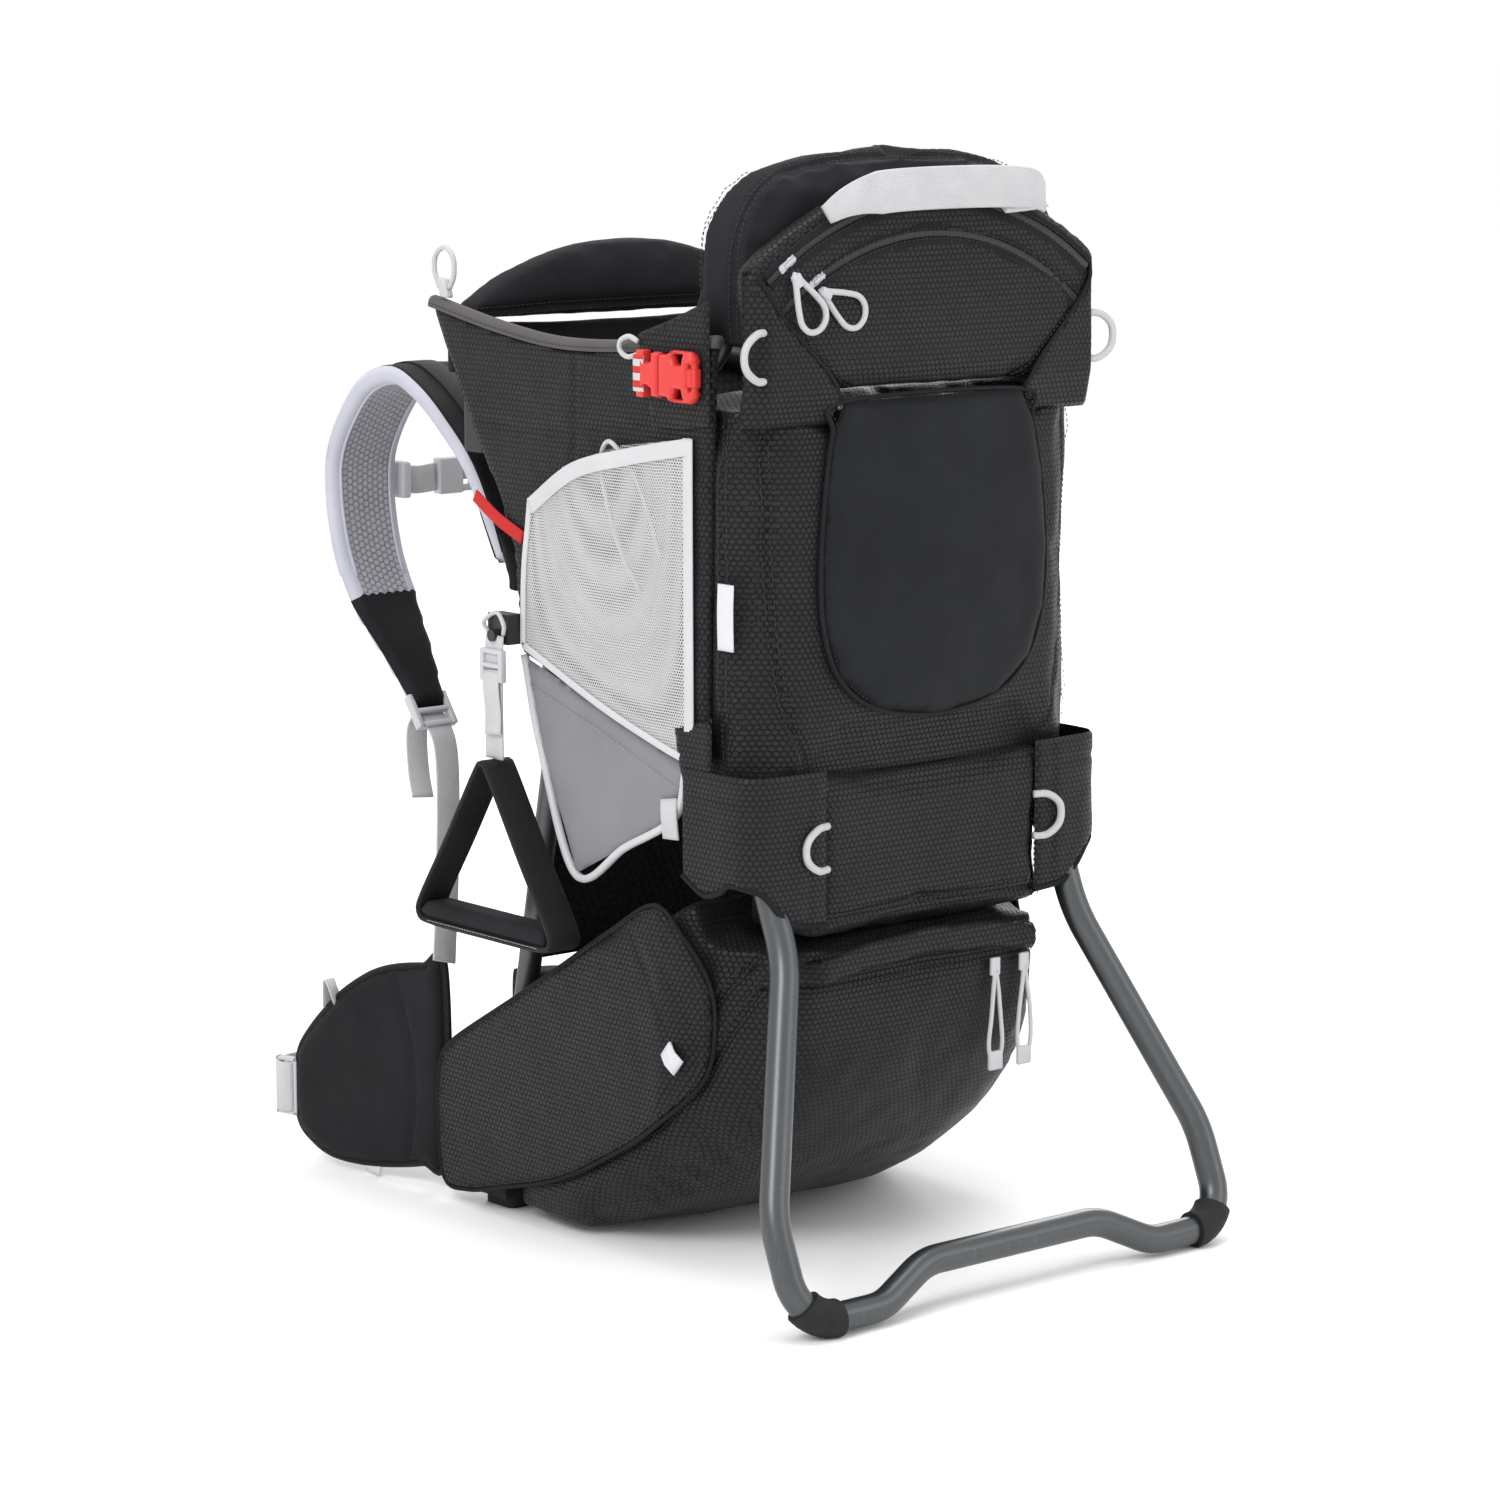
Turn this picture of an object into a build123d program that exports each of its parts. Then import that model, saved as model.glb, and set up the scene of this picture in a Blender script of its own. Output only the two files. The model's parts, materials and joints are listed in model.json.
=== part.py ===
from build123d import *
from math import atan2, cos, radians, sin
import os

# Framed child carrier, standing on its open kickstand and its two front feet.
# Millimetres. +X is the wearer's right, +Y the way the wearer walks, +Z up.
# The origin is on the floor, under the middle of the whole carrier.

# ---------------------------------------------------------------- main sizes
HEAD_TOP = 730.0          # floor to the top of the headrest
RIM_TOP = 600.0           # lowest point of the cockpit rim
BODY_TOP = 572.0          # top of the rear storage compartment
BAND_TOP = 336.0          # top of the band that hides the kickstand hinges
BAND_BOTTOM = 226.0       # bottom of that band
BODY_HALF = 150.0         # centre to the outside of the fabric body
BODY_REAR = -198.0        # rear face of the storage compartment
BODY_FRONT = -100.0       # its front face, behind the child's back
CHEST_Y = 131.0           # front face of the cockpit and of the hip fins
WALL = 9.0                # padded side wall
GAP = 0.4                 # gap left between neighbouring soft pieces

# Frame of round tube
FRAME_HALF = BODY_HALF - 32
FRAME_OD = 16.0
FRAME_WALL = 1.5
RAIL_OD = 12.0
STRUT_OD = 12.0
TUBE_FIT = 0.05           # radial clearance of a tube in its socket

# Kickstand
HINGE_Y = -175.0
HINGE_Z = 305.0
KICK_OD = 19.0
KICK_WALL = 1.8
KICK_TILT = 22.0          # lean of the open kickstand from upright, degrees
LEG_TOP_HALF = BODY_HALF - 23  # half distance between the legs at the hinge
LEG_FOOT_HALF = LEG_TOP_HALF + 60  # half distance between the legs at the floor
LEG_LENGTH = 317.0        # hinge to the middle of the bottom corner, along the leg
CROSS_RISE = 21.0         # how far the crossbar arches up off the floor
PIN_R = 4.0
PIN_FIT = 0.05            # radial running clearance of a pin

# Harness and belt
STRAP_IN = 75.0           # inner edge of a shoulder strap from the centre
STRAP_WIDTH = 60.0
STRAP_THICK = 14.0
WEB_WIDTH = 20.0
WEB_THICK = 2.0
BELT_FLARE = 13.6         # outward lean of a hip wing, degrees
WING_THICK = 16.0
WING_LENGTH = 137.0

KICK_R = KICK_OD / 2
FRAME_R = FRAME_OD / 2
CAP_WALL = 2.8
CAP_R = KICK_R + CAP_WALL
KICK_REACH = LEG_LENGTH * sin(radians(KICK_TILT)) + CAP_R
HALF_DEPTH = KICK_REACH - HINGE_Y

os.makedirs("parts", exist_ok=True)
SIDES = ((-1, "left"), (1, "right"))


def save(part, name):
    """Label a finished piece and write it as its own file."""
    part.label = name
    export_step(part, f"parts/{name}.step")


def save_group(parts, name):
    """Write alike pieces that stay apart as separate solids of one node."""
    with BuildPart() as group:
        for part in parts:
            add(part)
    save(group.part, name)


def side_slab(side, inner, outer, points):
    """A plate that stands on one side: a (y, z) outline between two distances from the centre."""
    with BuildPart() as slab:
        with BuildSketch(Plane.YZ.offset(side * inner)):
            with BuildLine():
                Polyline(*points, close=True)
            make_face()
        extrude(amount=side * (outer - inner))
    return slab.part


def block(low, high):
    """A plain block between two corners."""
    size = [b - a for a, b in zip(low, high)]
    with BuildPart() as solid:
        with BuildSketch(Plane.XY.offset(low[2])):
            with Locations(((low[0] + high[0]) / 2, (low[1] + high[1]) / 2)):
                Rectangle(size[0], size[1])
        extrude(amount=size[2])
    return solid.part


def across(side, inner, outer):
    """The two x values of a span on one side, lowest first."""
    return sorted((side * inner, side * outer))


def round_bar(points, radii, diameter, bore=0.0, plane=Plane.XY):
    """A bar or tube of round section along straight runs joined by arcs."""
    with BuildPart() as bar:
        with BuildLine(plane) as route:
            FilletPolyline(*points, radius=radii)
        start = route.line @ 0
        with BuildSketch(Plane(origin=start, z_dir=route.line % 0)):
            Circle(diameter / 2)
            if bore:
                Circle(bore / 2, mode=Mode.SUBTRACT)
        sweep(path=route.line)
    return bar.part


def side_band(side, inner, outer, points, radii, thickness):
    """A bent band of even thickness seen from the side: its middle line is in (y, z)."""
    with BuildPart() as band:
        with BuildSketch(Plane.YZ.offset(side * inner)):
            with BuildLine():
                FilletPolyline(*points, radius=radii)
            trace(line_width=thickness)
        extrude(amount=side * (outer - inner))
    return band.part


def wire_loop(start, middle, end, diameter):
    """A half ring of cord through three points."""
    with BuildPart() as loop:
        with BuildLine() as route:
            ThreePointArc(start, middle, end)
        with BuildSketch(Plane(origin=route.line @ 0, z_dir=route.line % 0)):
            Circle(diameter / 2)
        sweep(path=route.line)
    return loop.part


# ---------------------------------------------------------------- front frame hoop
HOOP_SIDE = (
    (88, 12),
    (80, 120),
    (38, 330),
    (42, 420),
    (CHEST_Y - 27, RIM_TOP - 25),
)
HOOP_BENDS = (90, 120, 90, 40)


def hoop_route():
    up = [(-FRAME_HALF, y, z) for y, z in HOOP_SIDE]
    down = [(FRAME_HALF, y, z) for y, z in reversed(HOOP_SIDE)]
    bends = list(HOOP_BENDS) + list(reversed(HOOP_BENDS))
    return up + down, bends


def hoop_y(height):
    """Depth of the hoop's straight runs at a height."""
    for (y0, z0), (y1, z1) in zip(HOOP_SIDE, HOOP_SIDE[1:]):
        if z0 <= height <= z1:
            return y0 + (y1 - y0) * (height - z0) / (z1 - z0)
    return HOOP_SIDE[-1][0]


HOOP_POINTS, HOOP_RADII = hoop_route()
frame_hoop = round_bar(HOOP_POINTS, HOOP_RADII, FRAME_OD, FRAME_OD - 2 * FRAME_WALL)
save(frame_hoop, "frame_hoop")
hoop_socket = round_bar(HOOP_POINTS, HOOP_RADII, FRAME_OD + 2 * TUBE_FIT)

# ---------------------------------------------------------------- cockpit rail
# Runs back from the hoop along both side walls, then arches up inside the headrest.
RAIL_HALF = BODY_HALF - WALL - RAIL_OD / 2 - 3
RAIL_Z = BODY_TOP + 15
HEAD_Y = -150.0
ARCH_HALF = RAIL_HALF - 26
ARCH_TOP = HEAD_TOP - 36
RAIL_FRONT = 100.0
rail_half_points = (
    (RAIL_FRONT, RAIL_Z, RAIL_HALF),
    (HEAD_Y, RAIL_Z, RAIL_HALF),
    (HEAD_Y, ARCH_TOP, ARCH_HALF),
)
RAIL_POINTS = [(-x, y, z) for y, z, x in rail_half_points]
RAIL_POINTS += [(x, y, z) for y, z, x in reversed(rail_half_points)]
RAIL_BENDS = [26, 45, 45, 26]
cockpit_rail = round_bar(RAIL_POINTS, RAIL_BENDS, RAIL_OD, RAIL_OD - 2 * FRAME_WALL)
save(cockpit_rail, "cockpit_rail")
rail_socket = round_bar(RAIL_POINTS, RAIL_BENDS, RAIL_OD + 2 * TUBE_FIT)

# ---------------------------------------------------------------- moulded frame joints
frame_joints = []
for side, name in SIDES:
    low_x, high_x = across(side, FRAME_HALF - 12, RAIL_HALF + 8)
    joint_body = block((low_x, RAIL_FRONT - 14, RIM_TOP - 80), (high_x, RAIL_FRONT + 12, RIM_TOP - 3))
    with BuildPart() as frame_joint:
        add(joint_body)
        fillet(frame_joint.edges().filter_by(Axis.Z), 5)
        add(hoop_socket, mode=Mode.SUBTRACT)
        add(rail_socket, mode=Mode.SUBTRACT)
    frame_joints.append(frame_joint.part)
save_group(frame_joints, "frame_joints")

# ---------------------------------------------------------------- front feet and base bar
FOOT_HALF = 16.0
BASE_Z = 20.0
base_feet = []
for side, name in SIDES:
    with BuildPart() as base_foot:
        with BuildSketch():
            with Locations((side * FRAME_HALF, HOOP_SIDE[0][0])):
                RectangleRounded(2 * FOOT_HALF, 2 * FOOT_HALF, 7)
        extrude(amount=38)
        chamfer(base_foot.faces().sort_by(Axis.Z)[-1].edges(), 3)
        add(hoop_socket, mode=Mode.SUBTRACT)
    base_feet.append(base_foot.part)
save_group(base_feet, "base_feet")

BAR_HALF = FRAME_HALF - FOOT_HALF
with BuildPart() as base_bar:
    with BuildSketch(Plane.YZ.offset(-BAR_HALF)):
        with Locations((HOOP_SIDE[0][0], BASE_Z)):
            Circle(STRUT_OD / 2)
            Circle(STRUT_OD / 2 - FRAME_WALL, mode=Mode.SUBTRACT)
    extrude(amount=2 * BAR_HALF)
save(base_bar.part, "base_bar")

# ---------------------------------------------------------------- side struts and hinges
PLATE_FRONT = HINGE_Y + 33
PLATE_THICK = 8.0
EYE_R = 13.0
EYE_HALF = 9.0
EAR_GAP = 0.6
EAR_THICK = 8.0
EAR_IN = LEG_TOP_HALF - EYE_HALF - EAR_GAP
EAR_OUT = LEG_TOP_HALF + EYE_HALF + EAR_GAP
PIN_HEAD = 3.0
side_struts = []
hinge_brackets = []
hinge_pins = []
for side, name in SIDES:
    with BuildPart() as side_strut:
        with BuildSketch(Plane.XZ.offset(-PLATE_FRONT)):
            with Locations((side * FRAME_HALF, HINGE_Z)):
                Circle(STRUT_OD / 2)
                Circle(STRUT_OD / 2 - FRAME_WALL, mode=Mode.SUBTRACT)
        extrude(amount=PLATE_FRONT - hoop_y(HINGE_Z) + 2)
        add(hoop_socket, mode=Mode.SUBTRACT)
    side_struts.append(side_strut.part)

    with BuildPart() as hinge_bracket:
        with BuildSketch(Plane.YZ.offset(side * (EAR_IN - EAR_THICK))):
            with BuildLine():
                ear_top = Line((PLATE_FRONT, HINGE_Z + EYE_R), (HINGE_Y, HINGE_Z + EYE_R))
                ThreePointArc(ear_top @ 1, (HINGE_Y - EYE_R, HINGE_Z), (HINGE_Y, HINGE_Z - EYE_R))
                Polyline((HINGE_Y, HINGE_Z - EYE_R), (PLATE_FRONT, HINGE_Z - EYE_R), ear_top @ 0)
            make_face()
            with Locations((HINGE_Y, HINGE_Z)):
                Circle(PIN_R + PIN_FIT, mode=Mode.SUBTRACT)
        extrude(amount=side * (EAR_OUT - EAR_IN + 2 * EAR_THICK))
        low_x, high_x = across(side, EAR_IN, EAR_OUT)
        slot = block(
            (low_x, HINGE_Y - 2 * EYE_R, HINGE_Z - 2 * EYE_R),
            (high_x, PLATE_FRONT - PLATE_THICK, HINGE_Z + 2 * EYE_R),
        )
        add(slot, mode=Mode.SUBTRACT)
    hinge_brackets.append(hinge_bracket.part)

    with BuildPart() as hinge_pin:
        with BuildSketch(Plane.YZ.offset(side * (EAR_IN - EAR_THICK - 1))):
            with Locations((HINGE_Y, HINGE_Z)):
                Circle(PIN_R)
        extrude(amount=side * (EAR_OUT - EAR_IN + 2 * EAR_THICK + 1))
        with BuildSketch(Plane.YZ.offset(side * (EAR_OUT + EAR_THICK))):
            with Locations((HINGE_Y, HINGE_Z)):
                Circle(PIN_R + 2.5)
        extrude(amount=side * PIN_HEAD)
    hinge_pins.append(hinge_pin.part)
save_group(hinge_pins, "hinge_pins")

save_group(hinge_brackets, "hinge_brackets")

save_group(side_struts, "side_struts")

# ---------------------------------------------------------------- kickstand
# Drawn flat in its own leaning plane: x across, y down the legs from the hinge.
lean_y = -sin(radians(KICK_TILT))
lean_z = -cos(radians(KICK_TILT))
KICK_PLANE = Plane(origin=(0, HINGE_Y, HINGE_Z), x_dir=(1, 0, 0), z_dir=(0, -lean_z, lean_y))
TUBE_START = 16.0
KNEE = 92.0
SHIN = 250.0
CORNER_R = 30.0
CROSS_HALF = 76.0
leg_points = [
    (LEG_TOP_HALF, TUBE_START),
    (LEG_TOP_HALF, KNEE),
    (LEG_FOOT_HALF, SHIN),
    (LEG_FOOT_HALF, LEG_LENGTH),
    (CROSS_HALF + 42, LEG_LENGTH),
    (CROSS_HALF, LEG_LENGTH - CROSS_RISE),
]
leg_bends = [90, 80, CORNER_R, 40, 50]
KICK_POINTS = leg_points + [(-x, y) for x, y in reversed(leg_points)]
KICK_BENDS = leg_bends + list(reversed(leg_bends))
kickstand_tube = round_bar(KICK_POINTS, KICK_BENDS, KICK_OD, KICK_OD - 2 * KICK_WALL, KICK_PLANE)
save(kickstand_tube, "kickstand_tube")

SLEEVE_END = 46.0
CAP_TURNS = (38, 64, 90)  # start, middle and end of a foot cap round the bottom corner, degrees
leg_eyes = []
kickstand_feet = []
for side, name in SIDES:
    sleeve_plane = Plane(
        origin=(side * LEG_TOP_HALF, HINGE_Y, HINGE_Z), x_dir=(1, 0, 0), z_dir=(0, lean_y, lean_z)
    )
    with BuildPart() as leg_eye:
        with BuildSketch(Plane.YZ.offset(side * (LEG_TOP_HALF - EYE_HALF))):
            with Locations((HINGE_Y, HINGE_Z)):
                Circle(EYE_R)
        extrude(amount=side * 2 * EYE_HALF)
        with BuildSketch(sleeve_plane):
            Circle(KICK_R + 1.8)
        extrude(amount=SLEEVE_END)
        with BuildSketch(sleeve_plane.offset(TUBE_START)):
            Circle(KICK_R + TUBE_FIT)
        extrude(amount=SLEEVE_END, mode=Mode.SUBTRACT)
        with BuildSketch(Plane.YZ.offset(side * (LEG_TOP_HALF - 2 * EYE_HALF))):
            with Locations((HINGE_Y, HINGE_Z)):
                Circle(PIN_R + PIN_FIT)
        extrude(amount=side * 4 * EYE_HALF, mode=Mode.SUBTRACT)
        low_x, high_x = across(side, EAR_IN + EAR_GAP, EAR_OUT - EAR_GAP)
        add(block((low_x, HINGE_Y - 60, HINGE_Z - 60), (high_x, HINGE_Y + 60, HINGE_Z + 60)), mode=Mode.INTERSECT)
    leg_eyes.append(leg_eye.part)

    corner_x = LEG_FOOT_HALF - CORNER_R
    corner_y = LEG_LENGTH - CORNER_R
    corner_arc = [
        (side * (corner_x + CORNER_R * cos(radians(turn))), corner_y + CORNER_R * sin(radians(turn)))
        for turn in CAP_TURNS
    ]
    with BuildPart() as kickstand_foot:
        with BuildLine(KICK_PLANE) as corner:
            ThreePointArc(*corner_arc)
        with BuildSketch(Plane(origin=corner.line @ 0, z_dir=corner.line % 0)):
            Circle(CAP_R)
            Circle(KICK_R + TUBE_FIT, mode=Mode.SUBTRACT)
        sweep(path=corner.line)
        split(bisect_by=Plane.XY, keep=Keep.TOP)
    kickstand_feet.append(kickstand_foot.part)
save_group(kickstand_feet, "kickstand_feet")

save_group(leg_eyes, "leg_eyes")

# ---------------------------------------------------------------- cockpit side walls
WALL_IN = BODY_HALF - WALL
REAR_EDGE = -165.0
RIM_FRONT = RIM_TOP + 20
RIM_REAR = RIM_TOP + 10
RIM_THICK = 5.0
POCKET_FRONT = 30.0
side_walls = []
rim_bindings = []
leg_fenders = []
for side, name in SIDES:
    with BuildPart() as side_wall:
        with BuildSketch(Plane.YZ.offset(side * WALL_IN)):
            with BuildLine():
                rim = ThreePointArc((CHEST_Y + 4, RIM_FRONT), (-10, RIM_TOP), (REAR_EDGE, RIM_REAR))
                back = Line(rim @ 1, (REAR_EDGE + 8, BAND_TOP + 2))
                hem = Line(back @ 1, (-130, BAND_TOP + 2))
                low = Line(hem @ 1, (38, 392))
                nose = Line(low @ 1, (44, 455))
                chest = ThreePointArc(nose @ 1, (85, 530), (CHEST_Y + 4, RIM_FRONT))
            make_face()
        extrude(amount=side * WALL)
    side_walls.append(side_wall.part)

    with BuildPart() as rim_binding:
        with BuildSketch(Plane.YZ.offset(side * (WALL_IN - 2))):
            with BuildLine():
                lower = ThreePointArc((CHEST_Y + 4, RIM_FRONT), (-10, RIM_TOP), (REAR_EDGE, RIM_REAR))
                rear = Line(lower @ 1, (REAR_EDGE, RIM_REAR + RIM_THICK))
                upper = ThreePointArc(
                    rear @ 1, (-10, RIM_TOP + RIM_THICK), (CHEST_Y + 4, RIM_FRONT + RIM_THICK)
                )
                Line(upper @ 1, lower @ 0)
            make_face()
        extrude(amount=side * (WALL + 2))
    rim_bindings.append(rim_binding.part)

    fender = (
        (POCKET_FRONT + 6, 388),
        (20, 330),
        (-17, 250),
        (-70, 276),
        (-120, 303),
        (-132, BAND_TOP),
    )
    leg_fenders.append(side_slab(side, BODY_HALF - WALL + 1, BODY_HALF - WALL + 5, fender))
save_group(leg_fenders, "leg_fenders")

save_group(rim_bindings, "rim_bindings")

save_group(side_walls, "side_walls")

# ---------------------------------------------------------------- mesh side pockets
# A thin outer sheet bellied off the wall, closed at the front, rear and bottom.
POCKET_DEPTH = 13.0
SHEET = 2.5
SHEET_IN = BODY_HALF + GAP
pocket_outline = ((-146, 548), (-146, BAND_TOP + 4), (-50, 368), (POCKET_FRONT, 398), (20, 496))
inner_outline = ((-143, 620), (-143, BAND_TOP + 8), (-49, 372), (POCKET_FRONT - 4, 401), (17, 620))
mesh_pockets = []
for side, name in SIDES:
    cavity = side_slab(side, SHEET_IN - 1, SHEET_IN + POCKET_DEPTH - SHEET, inner_outline)
    with BuildPart() as mesh_pocket:
        add(side_slab(side, SHEET_IN, SHEET_IN + POCKET_DEPTH, pocket_outline))
        add(cavity, mode=Mode.SUBTRACT)
    mesh_pockets.append(mesh_pocket.part)
save_group(mesh_pockets, "mesh_pockets")

# ---------------------------------------------------------------- side compression wings
FLAP_THICK = 3.0
FLAP_OUT = SHEET_IN + FLAP_THICK
BUCKLE_Z = 587.0
side_flaps = []
for side, name in SIDES:
    flap = ((REAR_EDGE, 636), (-93, 611), (-108, 553), (REAR_EDGE, 557))
    side_flaps.append(side_slab(side, SHEET_IN, FLAP_OUT, flap))
save_group(side_flaps, "side_flaps")

# Side release buckle: a socket sewn to the flap and a plug that slides out forwards.
BUCKLE_HALF = 17.0
BUCKLE_THICK = 9.0
SOCKET_REAR = -160.0
SOCKET_FRONT = -126.0
PLUG_FRONT = -106.0
PLUG_TONGUE = 15.0
BUCKLE_MID = FLAP_OUT + GAP + BUCKLE_THICK / 2
buckle_sockets = []
for side, name in SIDES:
    low_x, high_x = across(side, FLAP_OUT, FLAP_OUT + GAP + BUCKLE_THICK)
    with BuildPart() as socket:
        add(block((low_x, SOCKET_REAR, BUCKLE_Z - BUCKLE_HALF), (high_x, SOCKET_FRONT, BUCKLE_Z + BUCKLE_HALF)))
        fillet(socket.edges().filter_by(Axis.X), 4)
        low_x, high_x = across(side, BUCKLE_MID - 2.8, BUCKLE_MID + 2.8)
        mouth = block(
            (low_x, SOCKET_FRONT - PLUG_TONGUE - 3, BUCKLE_Z - 13),
            (high_x, SOCKET_FRONT + 1, BUCKLE_Z + 13),
        )
        add(mouth, mode=Mode.SUBTRACT)
    buckle_sockets.append(socket.part)
    low_x, high_x = across(side, BUCKLE_MID - BUCKLE_THICK / 2, BUCKLE_MID + BUCKLE_THICK / 2)
    with BuildPart() as plug:
        add(block((low_x, SOCKET_FRONT + 0.5, BUCKLE_Z - 15), (high_x, PLUG_FRONT, BUCKLE_Z + 15)))
        low_x, high_x = across(side, BUCKLE_MID - 2, BUCKLE_MID + 2)
        for prong in (-9, 0, 9):
            tongue = block(
                (low_x, SOCKET_FRONT - PLUG_TONGUE, BUCKLE_Z + prong - 2.5),
                (high_x, SOCKET_FRONT + 1, BUCKLE_Z + prong + 2.5),
            )
            add(tongue)
    low_x, high_x = across(side, BUCKLE_MID - 1.5, BUCKLE_MID + 1.5)
    webbing = block((low_x, PLUG_FRONT, BUCKLE_Z - 12), (high_x, PLUG_FRONT + 9, BUCKLE_Z + 12))
    save_group([plug.part, webbing], f"buckle_plug_{name}")
save_group(buckle_sockets, "buckle_sockets")

# ---------------------------------------------------------------- rear compartment
EDGE_R = 24.0
with BuildPart() as rear_body:
    with BuildSketch(Plane.XY.offset(BAND_TOP + GAP)):
        with BuildLine():
            Polyline(
                (-WALL_IN + GAP, BODY_FRONT),
                (WALL_IN - GAP, BODY_FRONT),
                (WALL_IN - GAP, REAR_EDGE),
                (BODY_HALF, REAR_EDGE - GAP),
                (BODY_HALF, BODY_REAR + EDGE_R),
                (BODY_HALF - EDGE_R, BODY_REAR),
                (-BODY_HALF + EDGE_R, BODY_REAR),
                (-BODY_HALF, BODY_REAR + EDGE_R),
                (-BODY_HALF, REAR_EDGE - GAP),
                (-WALL_IN + GAP, REAR_EDGE),
                close=True,
            )
        make_face()
    extrude(amount=BODY_TOP - BAND_TOP - GAP)
save(rear_body.part, "rear_body")

# Stretch pocket: a shield with a round bottom, lying on the rear face.
SHIELD_HALF = 95.0
SHIELD_TOP = BODY_TOP - 2
SHIELD_THICK = 13.0
with BuildPart() as stretch_pocket:
    with BuildSketch(Plane.XZ.offset(-BODY_REAR)):
        with BuildLine():
            top = Line((-SHIELD_HALF + 8, SHIELD_TOP), (SHIELD_HALF - 8, SHIELD_TOP))
            right = Line(top @ 1, (SHIELD_HALF, BODY_TOP - 90))
            bottom = ThreePointArc(right @ 1, (0, BAND_TOP + 32), (-SHIELD_HALF, BODY_TOP - 90))
            Line(bottom @ 1, top @ 0)
        make_face()
    extrude(amount=SHIELD_THICK)
    chamfer(stretch_pocket.faces().sort_by(Axis.Y)[0].edges(), 6)
save(stretch_pocket.part, "stretch_pocket")

# ---------------------------------------------------------------- headrest and zip pocket
HEAD_FRONT = -120.0
HEAD_REAR = -180.0
HEAD_BOTTOM = RIM_TOP + 2
HEAD_HALF = BODY_HALF - WALL - 3
with BuildPart() as headrest:
    with BuildSketch(Plane.XZ.offset(-HEAD_FRONT)):
        with BuildLine():
            base = Line((-HEAD_HALF, HEAD_BOTTOM), (HEAD_HALF, HEAD_BOTTOM))
            right = Line(base @ 1, (HEAD_HALF, HEAD_TOP - 65))
            crown = ThreePointArc((HEAD_HALF - 40, HEAD_TOP - 12), (0, HEAD_TOP), (40 - HEAD_HALF, HEAD_TOP - 12))
            ThreePointArc(right @ 1, (HEAD_HALF - 13, HEAD_TOP - 30), crown @ 0)
            left = Line((-HEAD_HALF, HEAD_TOP - 65), base @ 0)
            ThreePointArc(crown @ 1, (13 - HEAD_HALF, HEAD_TOP - 30), left @ 0)
        make_face()
    extrude(amount=HEAD_FRONT - HEAD_REAR)
    add(rail_socket, mode=Mode.SUBTRACT)
save(headrest.part, "headrest")

ZIP_FACE = BODY_REAR - 5
CROWN_END = 660.0
ARC_Z = 478.7
OUTER_ARC = 217.0
INNER_ARC = 195.0
with BuildPart() as zip_pocket:
    with BuildSketch(Plane.XZ.offset(-HEAD_REAR + GAP)):
        with BuildLine():
            base = Line((-BODY_HALF, BODY_TOP + GAP), (BODY_HALF, BODY_TOP + GAP))
            right = Line(base @ 1, (BODY_HALF, CROWN_END))
            crown = ThreePointArc(right @ 1, (0, HEAD_TOP - 16), (-BODY_HALF, CROWN_END))
            Line(crown @ 1, base @ 0)
        make_face()
    extrude(amount=HEAD_REAR - GAP - ZIP_FACE)
save(zip_pocket.part, "zip_pocket")

# Zip sliders run on two arcs about one centre; each carries a hanging cord pull.
# The two pulls hang in two layers, so that they pass each other.
SLIDER_THICK = 3.0
SLIDER_WIDTH = 10.0
SLIDER_LENGTH = 18.0
SLIDER_Y = ZIP_FACE - GAP
PULL_THICK = 2.6
PULL_LENGTH = 50.0
PULL_WIDTH = 22.0
PULL_POST_R = 1.6
PIVOT_DROP = 6.0


def zip_place(radius, angle):
    """Centre of a zip slider on an arc, the angle measured from straight up."""
    return radius * sin(radians(angle)), ARC_Z + radius * cos(radians(angle))


def zip_slider(x, z, layer, radius):
    """A slider block, curved to its arc, with the post that its pull hangs from."""
    with BuildPart() as slider:
        with BuildSketch(Plane.XZ.offset(-SLIDER_Y)):
            with Locations((0, ARC_Z)):
                Circle(radius + SLIDER_WIDTH / 2)
                Circle(radius - SLIDER_WIDTH / 2, mode=Mode.SUBTRACT)
            with Locations((x, z)):
                Rectangle(SLIDER_WIDTH + 2, SLIDER_LENGTH, mode=Mode.INTERSECT)
        extrude(amount=SLIDER_THICK)
        with BuildSketch(Plane.XZ.offset(-SLIDER_Y + SLIDER_THICK)):
            with Locations((x, z - PIVOT_DROP)):
                Circle(PULL_POST_R)
        extrude(amount=layer + PULL_THICK)
    return slider.part


def pull_loop(x, z, layer):
    """A flat loop of cord hanging from a post at its top end."""
    with BuildPart() as loop:
        with BuildSketch(Plane.XZ.offset(-SLIDER_Y + SLIDER_THICK + layer)):
            with Locations((x, z)):
                Circle(PULL_POST_R + 2.4)
            with Locations((x, z - 7)):
                Rectangle(5, 10)
            with Locations((x, z - 10 - PULL_LENGTH / 2 + 4)):
                SlotOverall(PULL_LENGTH - 8, PULL_WIDTH, rotation=90)
                SlotOverall(PULL_LENGTH - 15, PULL_WIDTH - 7, rotation=90, mode=Mode.SUBTRACT)
            with Locations((x, z)):
                Circle(PULL_POST_R + PIN_FIT, mode=Mode.SUBTRACT)
        extrude(amount=PULL_THICK)
    return loop.part


# Name, arc, place of the slider on it, lean of the resting pull, room left below the pull
ZIPS = (
    ("outer", OUTER_ARC, -34, 30, 2 * GAP + PULL_THICK),
    ("inner", INNER_ARC, -30, 62, GAP),
)
for name, radius, angle, lean, layer in ZIPS:
    x, z = zip_place(radius, angle)
    save(zip_slider(x, z, layer, radius), f"zip_slider_{name}")
    pull = pull_loop(x, z - PIVOT_DROP, layer)
    save(pull.rotate(Axis((x, SLIDER_Y, z - PIVOT_DROP), (0, 1, 0)), -lean), f"zip_pull_{name}")

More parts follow.
